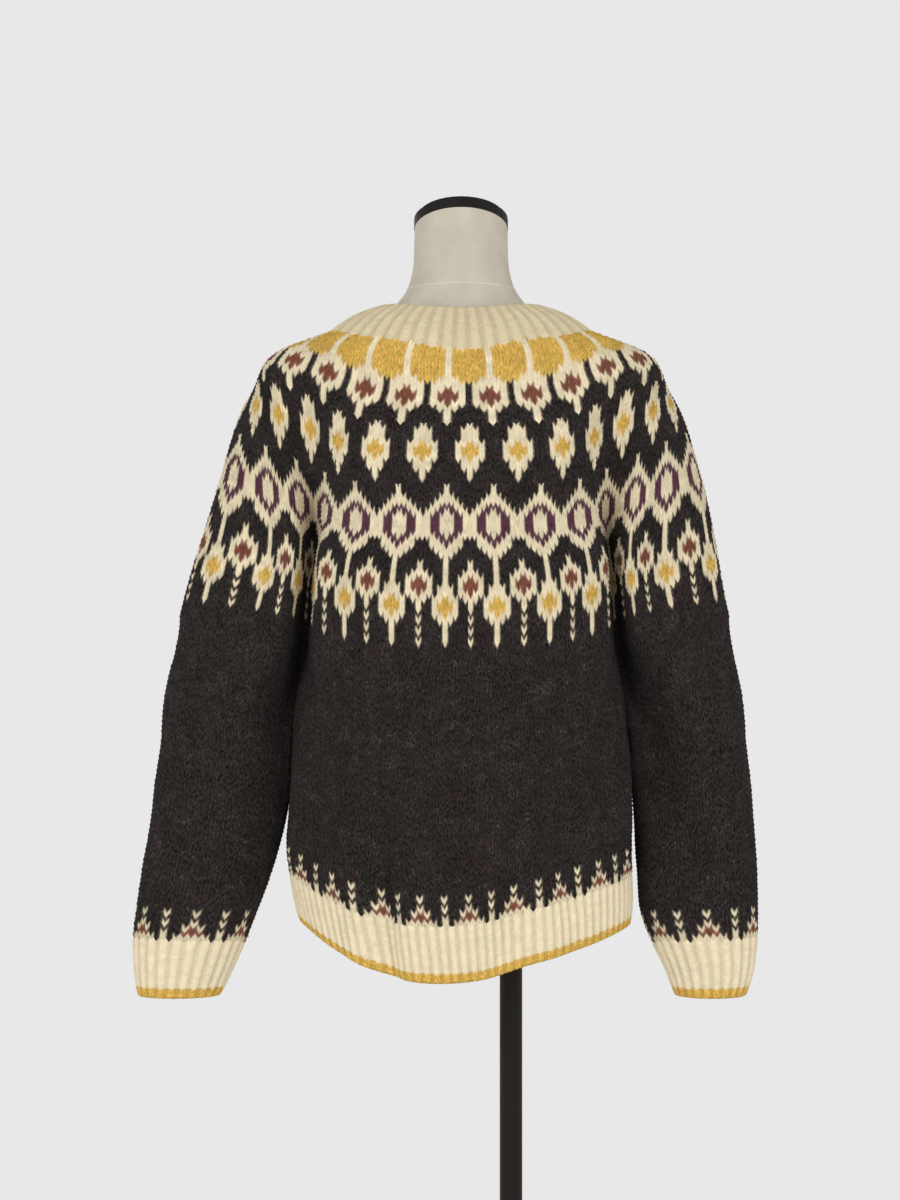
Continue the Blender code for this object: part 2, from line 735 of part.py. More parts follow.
def build_form(cover, black):
    rings = form_rings()
    count = len(rings[0])
    verts = np.concatenate(rings)
    faces = [tuple(range(count)), tuple(range(len(verts) - count, len(verts)))]
    for r in range(len(rings) - 1):
        for c in range(count):
            a = r * count + c
            b = r * count + (c + 1) % count
            faces.append((a, b, b + count, a + count))
    add_object("form_torso", verts, faces, cover)
    mesh = bpy.data.meshes.new("form_cap")
    bm = bmesh.new()
    radius = NECK_RADIUS * MM
    bmesh.ops.create_cone(
        bm, cap_ends=True, segments=36, radius1=radius, radius2=radius, depth=CAP_THICK * MM
    )
    top = [e for e in bm.edges if min(v.co.z for v in e.verts) > 0]
    bmesh.ops.bevel(bm, geom=top, offset=4 * MM, segments=2, affect="EDGES")
    tilt = Matrix.Rotation(radians(NECK_TILT), 4, "X")
    lift = Vector((0, 0, NECK_TOP_Z * MM)) + tilt @ Vector((0, 0, (CAP_THICK / 2 + 0.4) * MM))
    bm.transform(Matrix.Translation(lift) @ tilt)
    bm.to_mesh(mesh)
    bm.free()
    mesh.materials.append(black)
    mesh.shade_smooth()
    mesh.set_sharp_from_angle(angle=radians(40))
    bpy.context.scene.collection.objects.link(bpy.data.objects.new("form_cap", mesh))


def turned(name, profile, x, finish, segments=40):
    """A solid turned round an upright axis at x, from an outline of radius and height."""
    verts = []
    for radius, z in profile:
        for i in range(segments):
            turn = 2 * pi * i / segments
            verts.append((x + radius * cos(turn), radius * sin(turn), z))
    count = len(profile)
    faces = [tuple(range(segments)), tuple(range((count - 1) * segments, count * segments))]
    for r in range(count - 1):
        for c in range(segments):
            a = r * segments + c
            b = r * segments + (c + 1) % segments
            faces.append((a, b, b + segments, a + segments))
    add_object(name, verts, faces, finish)


def build_stand(black):
    turned("form_base", BASE_PROFILE, POLE_X, black)
    top = FORM_LEVELS[-1].z - 0.3
    pole = ((POLE_RADIUS, BASE_TOP + 0.3), (POLE_RADIUS, top))
    turned("form_pole", pole, POLE_X, black, 24)


def main():
    for old in list(bpy.data.objects):
        bpy.data.objects.remove(old)
    charcoal = material("charcoal_wool", (0.028, 0.022, 0.020), 0.95)
    cream = material("cream_wool", (0.82, 0.70, 0.46), 0.95)
    shell = material("button_shell", (0.16, 0.10, 0.07), 0.4)
    cover = material("form_cover", (0.60, 0.54, 0.43), 0.9)
    black = material("black_metal", (0.018, 0.015, 0.013), 0.45)
    build_yoke(charcoal)
    build_body(charcoal, cream)
    for side in (1, -1):
        build_sleeve(side, charcoal, cream)
    build_neckband(cream)
    build_front_bands(cream, shell)
    build_form(cover, black)
    build_stand(black)


main()
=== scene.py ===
# %% [markdown]
# # A nordic cardigan on a dress form
# The frame holds the garment's solids at their real place. This script gives them their
# looks: every stitch of the knitting, the coloured yoke, the ribs, the horn buttons and
# the covered form. It starts by loading the frame.

# %% Open the frame
from collections import namedtuple
from math import cos, pi, radians, sin, tan

import bmesh
import bpy
import numpy as np
from mathutils import Matrix, Vector


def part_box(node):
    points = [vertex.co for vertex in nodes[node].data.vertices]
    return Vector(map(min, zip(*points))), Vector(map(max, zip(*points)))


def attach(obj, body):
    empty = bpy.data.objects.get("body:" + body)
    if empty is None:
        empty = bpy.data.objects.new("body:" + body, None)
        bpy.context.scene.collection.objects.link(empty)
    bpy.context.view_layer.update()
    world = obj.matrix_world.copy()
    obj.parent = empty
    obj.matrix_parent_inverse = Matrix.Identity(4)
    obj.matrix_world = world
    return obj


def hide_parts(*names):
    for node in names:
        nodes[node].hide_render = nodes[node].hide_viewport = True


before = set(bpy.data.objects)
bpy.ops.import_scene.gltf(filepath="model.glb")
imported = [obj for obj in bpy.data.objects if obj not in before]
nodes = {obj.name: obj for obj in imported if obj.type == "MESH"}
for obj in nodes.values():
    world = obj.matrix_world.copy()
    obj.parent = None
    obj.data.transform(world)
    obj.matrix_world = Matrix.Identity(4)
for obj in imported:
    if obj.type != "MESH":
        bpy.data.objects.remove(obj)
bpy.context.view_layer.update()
MM = 0.001

# %% [markdown]
# The picture was taken from behind, level with the middle of the garment and about three
# metres away. A long lens keeps the sleeves from spreading. The camera comes first,
# because the surfaces below were measured through it.

# %% Set up the camera
CAMERA_AT = Vector((0.011, 3.0, 1.076))
LENS = 90.0


def add_camera():
    """A level camera behind the wearer."""
    data = bpy.data.cameras.new("camera")
    data.lens = LENS
    data.sensor_width = 36.0
    camera = bpy.data.objects.new("camera", data)
    camera.location = CAMERA_AT
    camera.rotation_euler = (radians(90), 0, radians(180))
    bpy.context.scene.collection.objects.link(camera)
    bpy.context.scene.camera = camera


add_camera()

# %% [markdown]
# Some jobs come up again and again: turning lists into arrays, shaping a fresh grid and
# making an object of it. Each has one short function.

# %% Helpers for meshes
SIDES = {1: "left", -1: "right"}
WELD = 0.00001


def floats(*lists):
    """Lists of numbers as arrays."""
    return [np.asarray(values, float) for values in lists]


def shaped_grid(columns, lines, place):
    """A fresh grid whose points go where place(column, line) says, in millimetres."""
    bm = bmesh.new()
    bmesh.ops.create_grid(bm, x_segments=columns, y_segments=lines, size=1.0)
    for vert in bm.verts:
        column = round((vert.co.x + 1) / 2 * columns)
        line = round((vert.co.y + 1) / 2 * lines)
        vert.co = Vector(place(column, line)) * MM
    return bm


def mesh_of(bm, name):
    """A named mesh made of a finished bmesh."""
    mesh = bpy.data.meshes.new(name)
    bm.to_mesh(mesh)
    bm.free()
    return mesh


def placed(name, mesh):
    """An object with this mesh, at the origin of the scene."""
    piece = bpy.data.objects.new(name, mesh)
    bpy.context.scene.collection.objects.link(piece)
    return piece


# %% [markdown]
# The cloth hangs on a few measured rings. Each ring of the yoke is one row of knitting,
# given by nine points of its left half in millimetres. A smooth curve through them gives
# the cloth's outer side anywhere, so the stitches can be as fine as they need to be.

# %% The yoke's rings
YOKE_ROWS = 64
FRONT_EDGE = 13.5
BACK_CREASE = 3.7
FRONT_CREASE = 10.3
SWING = 6.5
SWING_FROM = 37
RING_AT = (0.0, 2.5, BACK_CREASE, 5.0, 7.0, 9.0, FRONT_CREASE, 12.0, FRONT_EDGE)
MIRRORED_AT = (-RING_AT[1],) + RING_AT
Ring = namedtuple(
    "Ring",
    "row back blade crease sleeve_back sleeve_outer sleeve_front front_crease chest front_edge",
)

NECK_TOP = Ring(
    -10, (0, 62, 1363), (48, 55, 1366), (66, 44, 1368), (84, 20, 1367),
    (84, -22, 1354), (68, -58, 1330), (54, -74, 1312), (34, -86, 1296), (15.5, -92, 1286),
)
YOKE_RINGS = [Ring(*row) for row in (
    (
        0, (0, 88, 1319), (71, 73, 1331), (102, 52, 1336), (127, 22, 1343),
        (126, -35, 1330), (105, -75, 1300), (84, -92, 1282), (48, -110, 1258),
        (15.5, -119, 1242),
    ),
    (
        10, (0, 108, 1272), (101, 80, 1284), (144, 58, 1306), (185, 13, 1318),
        (184, -45, 1306), (152, -88, 1270), (122, -108, 1248), (68, -131, 1216),
        (15.5, -137, 1200),
    ),
    (
        22, (0, 122, 1219), (110, 92, 1227), (145, 47, 1243), (185, 48, 1261),
        (216, -22, 1273), (192, -84, 1238), (150, -92, 1208), (80, -135, 1164),
        (15.5, -143, 1148),
    ),
    (
        37, (0, 127, 1149), (108, 107, 1153), (144, 55, 1166), (181, 62, 1180),
        (238, 0, 1203), (205, -76, 1172), (154, -74, 1142), (84, -128, 1094),
        (15.5, -141, 1080),
    ),
    (
        50, (0, 126, 1089), (118, 99, 1100), (150, 52, 1113), (178, 66, 1117),
        (256, 6, 1133), (214, -68, 1110), (157, -56, 1084), (88, -118, 1034),
        (15.5, -136, 1020),
    ),
    (
        64, (0, 122, 1017), (120, 96, 1026), (156, 42, 1041), (187, 67, 1051),
        (272, 6, 1062), (236, -58, 1050), (160, -40, 1026), (94, -106, 972),
        (15.5, -130, 958),
    ),
)]


def hermite(keys, values, at):
    """A smooth curve through values at keys, read at each place in at."""
    keys, values, at = floats(keys, values, at)
    steps = np.diff(keys)
    shape = (-1,) + (1,) * (values.ndim - 1)
    slopes = np.diff(values, axis=0) / steps.reshape(shape)
    before = steps[:-1].reshape(shape)
    after = steps[1:].reshape(shape)
    middle = (slopes[:-1] * after + slopes[1:] * before) / (before + after)
    tangents = np.concatenate([slopes[:1], middle, slopes[-1:]])
    i = np.clip(np.searchsorted(keys, at, side="right") - 1, 0, len(keys) - 2)
    h = steps[i].reshape(shape)
    t = ((at - keys[i]) / steps[i]).reshape(shape)
    start = (2 * t**3 - 3 * t**2 + 1) * values[i] + (t**3 - 2 * t**2 + t) * h * tangents[i]
    end = (3 * t**2 - 2 * t**3) * values[i + 1] + (t**3 - t**2) * h * tangents[i + 1]
    return start + end


def ease(t):
    """A step from 0 to 1 with soft ends."""
    t = np.clip(t, 0.0, 1.0)
    return t * t * (3 - 2 * t)


def with_mirror(rings):
    """The rings' points, with the one beyond the back centre added, so it stays smooth."""
    points = np.array([ring[1:] for ring in rings], float)
    beyond = points[:, 1:2] * np.array([-1.0, 1.0, 1.0])
    return np.concatenate([beyond, points], axis=1)


def arm_swing(rows, across):
    """How far the sleeves' part of the yoke swings outwards, more towards its last row."""
    arm = ease((np.abs(across) - BACK_CREASE) / 2) * ease((FRONT_CREASE - np.abs(across)) / 2)
    return SWING * arm[None, :] * ease((rows[:, None] - SWING_FROM) / (YOKE_ROWS - SWING_FROM))


def smooth_yoke(rows, across):
    """Points of the yoke; across counts pattern repeats from the back centre, left is plus."""
    rows, across = floats(rows, across)
    lines = hermite([ring.row for ring in YOKE_RINGS], with_mirror(YOKE_RINGS), rows)
    grid = hermite(MIRRORED_AT, lines.transpose(1, 0, 2), np.abs(across)).transpose(1, 0, 2)
    grid[..., 0] *= np.where(across < 0, -1.0, 1.0)
    grid[..., 0] += arm_swing(rows, across)
    return grid


# %% [markdown]
# The sleeves hang forward of the shoulder blades, so the cloth falls into a deep crease
# above each armpit. A soft ridge stands on either side of it. Smaller troughs run down
# the back and over the arms, and there are similar ones at the front, where no picture
# shows them.

# %% The yoke's creases
Crease = namedtuple("Crease", "side top bottom from_across to_across width push_x push_y")
YOKE_CREASES = [Crease(*row) for row in (
    (1, 26, 90, 3.72, 3.74, 0.40, -2, -36),
    (1, 26, 90, 2.95, 3.02, 0.40, 4, 9),
    (1, 26, 90, 4.50, 4.50, 0.42, -5, 12),
    (-1, 26, 90, 3.72, 3.76, 0.38, -2, -34),
    (-1, 28, 90, 3.00, 3.10, 0.38, 4, 8),
    (-1, 28, 90, 4.50, 4.52, 0.45, -4, 10),
    (1, 12, 58, 1.35, 1.60, 0.30, 0, -4),
    (1, 14, 62, 2.20, 2.40, 0.35, 0, 3),
    (-1, 16, 60, 1.40, 1.55, 0.32, 0, -4),
    (-1, 10, 56, 0.55, 0.60, 0.40, 0, 3),
    (1, 28, 70, 5.20, 5.55, 0.35, -3, -6),
    (-1, 26, 66, 5.35, 5.60, 0.35, -2, -5),
    (1, 26, 90, 10.28, 10.26, 0.34, -2, 20),
    (1, 26, 90, 9.45, 9.40, 0.40, -3, -7),
    (-1, 28, 90, 10.28, 10.26, 0.32, -2, 18),
    (-1, 26, 90, 9.50, 9.45, 0.42, -2, -6),
    (1, 18, 60, 11.60, 11.50, 0.35, 0, 4),
    (-1, 14, 56, 11.70, 11.45, 0.35, 0, 4),
)]
CREASE_FADE = (20, 12)


def crease_push(rows, across):
    """How far the creases move each point of the yoke, sideways and in depth."""
    push_x = np.zeros((len(rows), len(across)))
    push_y = np.zeros((len(rows), len(across)))
    for crease in YOKE_CREASES:
        share = (rows - crease.top) / (min(crease.bottom, YOKE_ROWS) - crease.top)
        middle = crease.from_across + (crease.to_across - crease.from_across) * share
        near = np.exp(-(((across[None, :] * crease.side - middle[:, None]) / crease.width) ** 2))
        reach = ease((rows - crease.top) / CREASE_FADE[0])
        reach *= ease((crease.bottom - rows) / CREASE_FADE[1])
        push_x += crease.side * crease.push_x * near * reach[:, None]
        push_y += crease.push_y * near * reach[:, None]
    return push_x, push_y


def yoke_surface(rows, across):
    """The yoke with its creases."""
    rows, across = floats(rows, across)
    grid = smooth_yoke(rows, across)
    push_x, push_y = crease_push(rows, across)
    grid[..., 0] += push_x
    grid[..., 1] += push_y
    return grid


def outward(grid):
    """Unit normals of a grid whose rows run down and whose columns run to the right."""
    normal = np.cross(np.gradient(grid, axis=0), np.gradient(grid, axis=1))
    return normal / np.linalg.norm(normal, axis=2)[..., None]


# %% [markdown]
# The neckband rises from the neck seam to a soft top edge. It bulges a little, as a rib
# does that is drawn in at both ends.

# %% The neckband's surface
NECK_CENTRE = np.array([0.0, 0.0, 1290.0])
NECK_BULGE = 4.0


def neckband_surface(shares, across):
    """Points of the neckband from the seam, share 0, to its top edge, share 1."""
    shares, across = floats(shares, across)
    top = hermite(MIRRORED_AT, with_mirror((NECK_TOP,))[0], np.abs(across))
    top[:, 0] *= np.where(across < 0, -1.0, 1.0)
    seam = yoke_surface([0.0], across)[0]
    out = seam - NECK_CENTRE
    out /= np.linalg.norm(out, axis=1)[:, None]
    bulge = NECK_BULGE * np.sin(pi * shares)[:, None, None]
    return seam + (top - seam) * shares[:, None, None] + out * bulge


# %% [markdown]
# Below the underarms the body is a tube that opens down the front. Its levels are a
# short table: half width and depth to the back and to the front. The hem isn't level: it
# hangs lower at the back. Long soft folds run down from the shoulder blades.

# %% The body's surface
BAND_HALF = 15.0
SEAM_GAP = 0.8
SQUARENESS = 0.9
UNDERARM = (152, 2, 1017)
UNDERARM_DROP = 2.2
UNDERARM_SPLIT = 0.8
SETTLED_AT = 0.30
Level = namedtuple("Level", "share half_width back front lean")
Fold = namedtuple("Fold", "across width depth top bottom")
FOLD_FADE = (0.35, 0.3)
LEAN_FADE = 0.3
BODY_LEVELS = [Level(*row) for row in (
    (0.00, 166, 121, 122, 0.0),
    (0.15, 166, 120, 121, 1.0),
    (0.28, 165.5, 119, 119, 1.0),
    (0.456, 170.5, 118, 117, -0.5),
    (0.63, 174.3, 118, 115, 0.7),
    (0.743, 175, 118, 114, 2.0),
    (0.80, 174, 117, 113, 1.0),
    (0.86, 172.5, 116, 111, -0.5),
    (0.916, 171, 114, 109, -2.0),
    (1.00, 167, 114, 107, -4.0),
)]
HEM_LINE = (
    (-1.00, 752), (-0.70, 755), (-0.40, 752), (-0.272, 739.5), (-0.166, 728), (-0.079, 715),
    (0.00, 709.5), (0.05, 708), (0.114, 709.5), (0.183, 713.5), (0.25, 725.5), (0.322, 738),
    (0.40, 752), (0.70, 757), (1.00, 752),
)
BODY_FOLDS = [Fold(*row) for row in (
    (77, 19, -13, 0.36, 1.60),
    (52, 20, 6, 0.45, 1.60),
    (104, 16, 4, 0.50, 1.60),
    (-42, 24, -8, 0.55, 1.60),
    (-84, 18, 4, 0.50, 1.60),
    (-110, 26, -7, 0.15, 0.95),
    (128, 22, -6, 0.05, 0.60),
    (-6, 26, 4, 0.30, 1.20),
    (160, 20, -10, 0.0, 0.85),
    (-160, 20, -10, 0.0, 0.80),
    (232, 22, -5, 0.30, 1.40),
    (290, 30, -7, 0.20, 1.60),
    (348, 20, -6, 0.10, 0.90),
    (-236, 24, -6, 0.25, 1.30),
    (-300, 28, -7, 0.30, 1.60),
    (-352, 20, -5, 0.05, 0.80),
)]


def read_table(levels, shares):
    """A table's numbers, read smoothly at each share."""
    return hermite([level.share for level in levels], [level[1:] for level in levels], shares)


def along(points, places):
    """Points read at millimetres along a dense line of points."""
    steps = np.linalg.norm(np.diff(points, axis=0), axis=1)
    run = np.concatenate([[0.0], np.cumsum(steps)])
    return np.stack([np.interp(places, run, points[:, i]) for i in range(3)], axis=1)


def length_of(points):
    return float(np.linalg.norm(np.diff(points, axis=0), axis=1).sum())


def underarm_line(side, first, last, out, count=24):
    """The underarm from one crease to the other, through its middle point."""
    middle = np.array([side * (UNDERARM[0] + out), UNDERARM[1], UNDERARM[2]])
    return hermite((0.0, 0.5, 1.0), np.array([first, middle, last]), np.linspace(0, 1, count))


def body_top_line(side):
    """Top edge of the body's half, from the back centre to the front edge."""
    back = yoke_surface([YOKE_ROWS], side * np.linspace(0, BACK_CREASE, 57))[0]
    front = yoke_surface([YOKE_ROWS], side * np.linspace(FRONT_CREASE, FRONT_EDGE, 43))[0]
    arm = underarm_line(side, back[-1], front[0], -UNDERARM_SPLIT)
    arm[:, 0] -= side * SEAM_GAP
    arm[:, 2] -= UNDERARM_DROP
    return np.concatenate([back[:-1], arm, front[1:]])


def level_line(side, half_width, back, front, lean, count=200):
    """One level's half outline, from the back centre to the front edge, in count points."""
    edge = (BAND_HALF + 0.5) / half_width
    turn = np.linspace(0, pi - np.arcsin(edge ** (1 / SQUARENESS)), count)
    depth = np.where(turn < pi / 2, back, front)
    x = half_width * np.abs(np.sin(turn)) ** SQUARENESS
    y = depth * np.sign(np.cos(turn)) * np.abs(np.cos(turn)) ** SQUARENESS
    x = side * x + lean * ease((1 - np.linspace(0, 1, count)) / LEAN_FADE)
    return np.stack([x, y, np.zeros(count)], axis=1)


def fold_push(side, share, places):
    """How far the folds push the cloth in or out at these millimetres from the back centre."""
    push = np.zeros(len(places))
    for fold in BODY_FOLDS:
        near = np.exp(-(((side * places - fold.across) / fold.width) ** 2))
        reach = ease((share - fold.top) / FOLD_FADE[0])
        reach *= ease((fold.bottom - share) / FOLD_FADE[1])
        push += fold.depth * near * reach
    return push


def body_surface(shares, across):
    """Points of the body: share 0 at the underarm to 1 at the hem; across runs from -1 to 1."""
    shares, across = floats(shares, across)
    grid = np.empty((len(shares), len(across), 3))
    hem_z = hermite(*zip(*HEM_LINE), across)
    levels = read_table(BODY_LEVELS, shares)
    for side in (-1, 1):
        mine = (across >= 0) if side > 0 else (across < 0)
        if not mine.any():
            continue
        place = np.abs(across[mine])
        top_line = body_top_line(side)
        top = along(top_line, place * length_of(top_line))
        for r, share in enumerate(shares):
            line = level_line(side, *levels[r])
            half = length_of(line)
            low = along(line, place * half)
            mix = ease(share / SETTLED_AT)
            point = top * (1 - mix) + low * mix
            point[:, 2] = top[:, 2] + (hem_z[mine] - top[:, 2]) * share
            out = point[:, :2] / np.linalg.norm(point[:, :2], axis=1)[:, None]
            point[:, :2] += out * fold_push(side, share, place * half)[:, None]
            grid[r, mine] = point
    return grid


# %% [markdown]
# A sleeve leaves the yoke at the creases and the underarm, hangs down and narrows to a
# flat cuff. The two sleeves differ a little, so each has a table of its own. At its inner
# back, where a sleeve lies against the body, it is pressed into a long hollow.

# %% The sleeves' surfaces
SleeveLevel = namedtuple("SleeveLevel", "share centre_x half_width half_depth centre_y")
LEFT_SLEEVE = [SleeveLevel(*row) for row in (
    (0.00, 235, 65, 60, 6),
    (0.14, 237, 65, 56, 5),
    (0.30, 233.9, 64.1, 51, 3),
    (0.45, 239.7, 65.8, 46, 1),
    (0.55, 245.8, 64.2, 41, 0),
    (0.65, 254.5, 62.5, 37, -2),
    (0.75, 263.8, 59.2, 33, -4),
    (0.85, 272.8, 54.7, 30, -5),
    (0.93, 278.3, 48.2, 28, -6),
    (1.00, 282.5, 41, 27, -7),
)]
RIGHT_SLEEVE = [SleeveLevel(*row) for row in (
    (0.00, 225.5, 58.5, 60, 6),
    (0.14, 227.5, 58, 56, 5),
    (0.30, 226.0, 57.0, 51, 3),
    (0.45, 231.1, 58.0, 46, 1),
    (0.55, 233.4, 58.6, 41, 0),
    (0.65, 236.1, 58.9, 37, -2),
    (0.75, 238.4, 58.1, 33, -4),
    (0.85, 244.5, 51.5, 30, -5),
    (0.93, 249.5, 43.5, 28, -6),
    (1.00, 250, 35.5, 27, -7),
)]
CUFF_Z = 681
Hollow = namedtuple("Hollow", "place width depth")
HOLLOW_TOP = 0.07
HOLLOW_BOTTOM = 0.72
HOLLOW_FADE = 0.4
HOLLOWS = {1: Hollow(0.09, 0.065, 18.0), -1: Hollow(0.14, 0.100, 32.0)}


def sleeve_top_line(side):
    """A sleeve's top edge: from the middle of the underarm round the back, outside and front."""
    over = yoke_surface([YOKE_ROWS], side * np.linspace(BACK_CREASE, FRONT_CREASE, 99))[0]
    arm = underarm_line(side, over[-1], over[0], UNDERARM_SPLIT, 25)
    arm[:, 0] += side * SEAM_GAP
    return np.concatenate([arm[12:], over[1:-1], arm[:13]])


def sleeve_surface(side, shares, around):
    """Points of a sleeve: share 0 at the underarm to 1 at the cuff's edge; around is 0 to 1."""
    shares, around = floats(shares, around)
    values = read_table(LEFT_SLEEVE if side > 0 else RIGHT_SLEEVE, shares)
    top_line = sleeve_top_line(side)
    top = along(top_line, (around % 1.0) * length_of(top_line))
    turn = 2 * pi * around
    centre_x, half_width, half_depth, centre_y = values.T[:, :, None]
    mix = ease(shares / SETTLED_AT)[:, None]
    x = top[:, 0] * (1 - mix) + side * (centre_x - half_width * np.cos(turn)) * mix
    y = top[:, 1] * (1 - mix) + (centre_y + half_depth * np.sin(turn)) * mix
    hollow = HOLLOWS[side]
    near = np.exp(-(((around - hollow.place) / hollow.width) ** 2))
    reach = ease(shares / HOLLOW_TOP) * ease((HOLLOW_BOTTOM - shares) / HOLLOW_FADE)
    y -= hollow.depth * near * reach[:, None]
    z = top[:, 2] + (CUFF_Z - top[:, 2]) * shares[:, None]
    return np.stack([x, y, z], axis=2)


# %% [markdown]
# The colour pattern is charted as a knitter would draw it: one letter a stitch
# and one line a row, top to bottom. D is charcoal, C cream, Y mustard, R rust and P plum.
# The yoke grows by adding stitches to each repeat, so it has charts of 6, 8 and 10
# stitches. N is the cream darkened for the neckband: painted shade, as the neckband faces
# up and takes less light. A yarn's last number says how heathered it is and how much shade
# is painted into its gaps.

# %% The knitter's charts
CHART_6 = (
    ["YYYCYY"] * 6
    + ["YYCCCY", "DCCCCC", "DCCRCC", "DCRRRC", "DCRRRC", "DCCRCC", "DDCCCD"]
    + ["DDDCDD"] * 3
)
CHART_8 = (
    ["DDDDCDDD"]
    + ["DDDCCCDD"] * 3
    + ["DDCCYCCD", "DDCYYYCD", "DDCYYYCD", "DDCCYCCD"]
    + ["DDDCCCDD"] * 2
    + ["DDDDCDDD"] * 2
    + ["DDDDDDDD"]
)
CHART_10 = (
    ["DDDDDCDDDD"] * 2
    + ["DDDDCCCDDD", "DDDCCCCCDD", "DDCCPPPCCD", "DCCPPCPPCC"]
    + ["CCPPCCCPPC"] * 4
    + ["CCCPPCPPCC", "DDCCPPPCCD", "DDCCCPCCCD", "DDDCCCCCDD", "DDDDCCCDDD", "DDDDDCDDDD"]
    + ["CDDDDCDDDD"] * 2
    + ["CCDDDCDDDC", "RCCDDCDDCC", "RRCDDCDDCR", "RRCDCCCDCR", "RCCDCCCDCC"]
    + ["CCDCCYCCDC", "CDDCYYYCDD", "CDDCYYYCDD", "DDDCCYCCDD", "CDDDCCCDDD"]
    + ["DDDDDCDDDD", "CDDDDCDDDD"] * 2
    + ["DDDDDDDDDD"] * 3
)
BORDER = ["CDDDCDDD", "DDDDDDDD", "CDDDCDDD", "DDDCRCDD", "CDDRRRDD", "CDCCCCCD"]
Yarn = namedtuple("Yarn", "red green blue heather")
YARNS = {
    "D": Yarn(0.0258, 0.0209, 0.0197, 1.0),
    "C": Yarn(0.86, 0.745, 0.515, 0.07),
    # N is the cream darkened by painted shade, for the upward-facing neckband.
    "N": Yarn(0.665, 0.565, 0.370, 0.07),
    "Y": Yarn(0.68, 0.428, 0.090, 0.28),
    "R": Yarn(0.20, 0.068, 0.044, 0.28),
    "P": Yarn(0.100, 0.036, 0.056, 0.28),
}
PLUMP = {"D": 1.0, "C": 1.35, "N": 1.35, "Y": 1.2, "R": 1.0, "P": 1.0}

# %% [markdown]
# Wool isn't one flat colour. Each stitch carries its yarn's colour on the mesh, and the
# material breaks it up with fine heathered fibres and a soft sheen. The bump is the
# yarn's own roughness, finer than a stitch. First come the functions that join nodes.

# %% Helpers for materials
Graph = namedtuple("Graph", "owner parts links shader")


def new_graph(name):
    """A new material with its nodes, its links and its shader."""
    made = bpy.data.materials.new(name)
    made.use_nodes = True
    tree = made.node_tree
    return Graph(made, tree.nodes, tree.links, tree.nodes["Principled BSDF"])


def fed(graph, part, inputs):
    """A node whose inputs each take a plain value or another node's output."""
    for name, value in inputs.items():
        if isinstance(value, bpy.types.NodeSocket):
            graph.links.new(value, part.inputs[name])
        else:
            part.inputs[name].default_value = value
    return part


def object_place(graph):
    return graph.parts.new("ShaderNodeTexCoord").outputs["Object"]


def noise(graph, place, scale, detail=3.0):
    part = graph.parts.new("ShaderNodeTexNoise")
    return fed(graph, part, {"Vector": place, "Scale": scale, "Detail": detail}).outputs["Fac"]


def remapped(graph, value, from_low, from_high, to_low, to_high):
    """A value moved from one range to another, and kept inside it."""
    names = ("Value", "From Min", "From Max", "To Min", "To Max")
    inputs = dict(zip(names, (value, from_low, from_high, to_low, to_high)))
    return fed(graph, graph.parts.new("ShaderNodeMapRange"), inputs).outputs["Result"]


def combined(graph, operation, *values):
    """The result of a maths node."""
    part = graph.parts.new("ShaderNodeMath")
    part.operation = operation
    return fed(graph, part, dict(enumerate(values))).outputs["Value"]


def combined_vectors(graph, operation, inputs, output="Vector"):
    """The result of a vector maths node."""
    part = graph.parts.new("ShaderNodeVectorMath")
    part.operation = operation
    return fed(graph, part, inputs).outputs[output]


def blended(graph, factor, first, second):
    """A colour between two colours."""
    part = graph.parts.new("ShaderNodeMix")
    part.data_type = "RGBA"
    return fed(graph, part, {"Factor": factor, "A": first, "B": second}).outputs["Result"]


def ramped(graph, value, dark, pale, low=0.0, high=1.0):
    """A colour from dark to pale, as the value goes from low to high."""
    part = graph.parts.new("ShaderNodeValToRGB")
    for element, place, colour in zip(part.color_ramp.elements, (low, high), (dark, pale)):
        element.position = place
        element.color = (*colour, 1)
    return fed(graph, part, {"Fac": value}).outputs["Color"]


def bumped(graph, height, strength, distance):
    inputs = {"Height": height, "Strength": strength, "Distance": distance}
    return fed(graph, graph.parts.new("ShaderNodeBump"), inputs).outputs["Normal"]


# %% [markdown]
# The wool's shade follows the yarn along each stitch, and shade is painted into the gaps
# between the legs, more in the heathered yarns. Next to a stitch of another colour the two
# felt into each other a little. Plum and olive fibres show in the charcoal, and a few stray
# hairs catch the light.

# %% The wool material
PLUM_TINT = (1.22, 0.93, 1.10, 1)
OLIVE_TINT = (0.84, 1.04, 0.86, 1)
NO_TINT = (1, 1, 1, 1)
HAIR_COLOUR = (1.0, 0.88, 0.80)


def attribute(graph, name):
    part = graph.parts.new("ShaderNodeAttribute")
    part.attribute_name = name
    return part.outputs


def loose_fibres(graph, place, scale, width):
    """Thin curved lines, like stray hairs on the yarn."""
    off = combined(graph, "SUBTRACT", noise(graph, place, scale, 1.0), 0.5)
    return remapped(graph, combined(graph, "ABSOLUTE", off), 0.0, width, 1.0, 0.0)


def blended_tints(graph, colour, heather_and_gap_shade, place):
    """Plum and olive fibres spun into the wool, stronger in a heathered yarn."""
    spots = remapped(graph, noise(graph, place, 240.0, 2.0), 0.38, 0.62, 0.0, 1.0)
    tint = blended(graph, spots, PLUM_TINT, OLIVE_TINT)
    share = blended(graph, heather_and_gap_shade, NO_TINT, tint)
    return combined_vectors(graph, "MULTIPLY", {0: colour, 1: share})


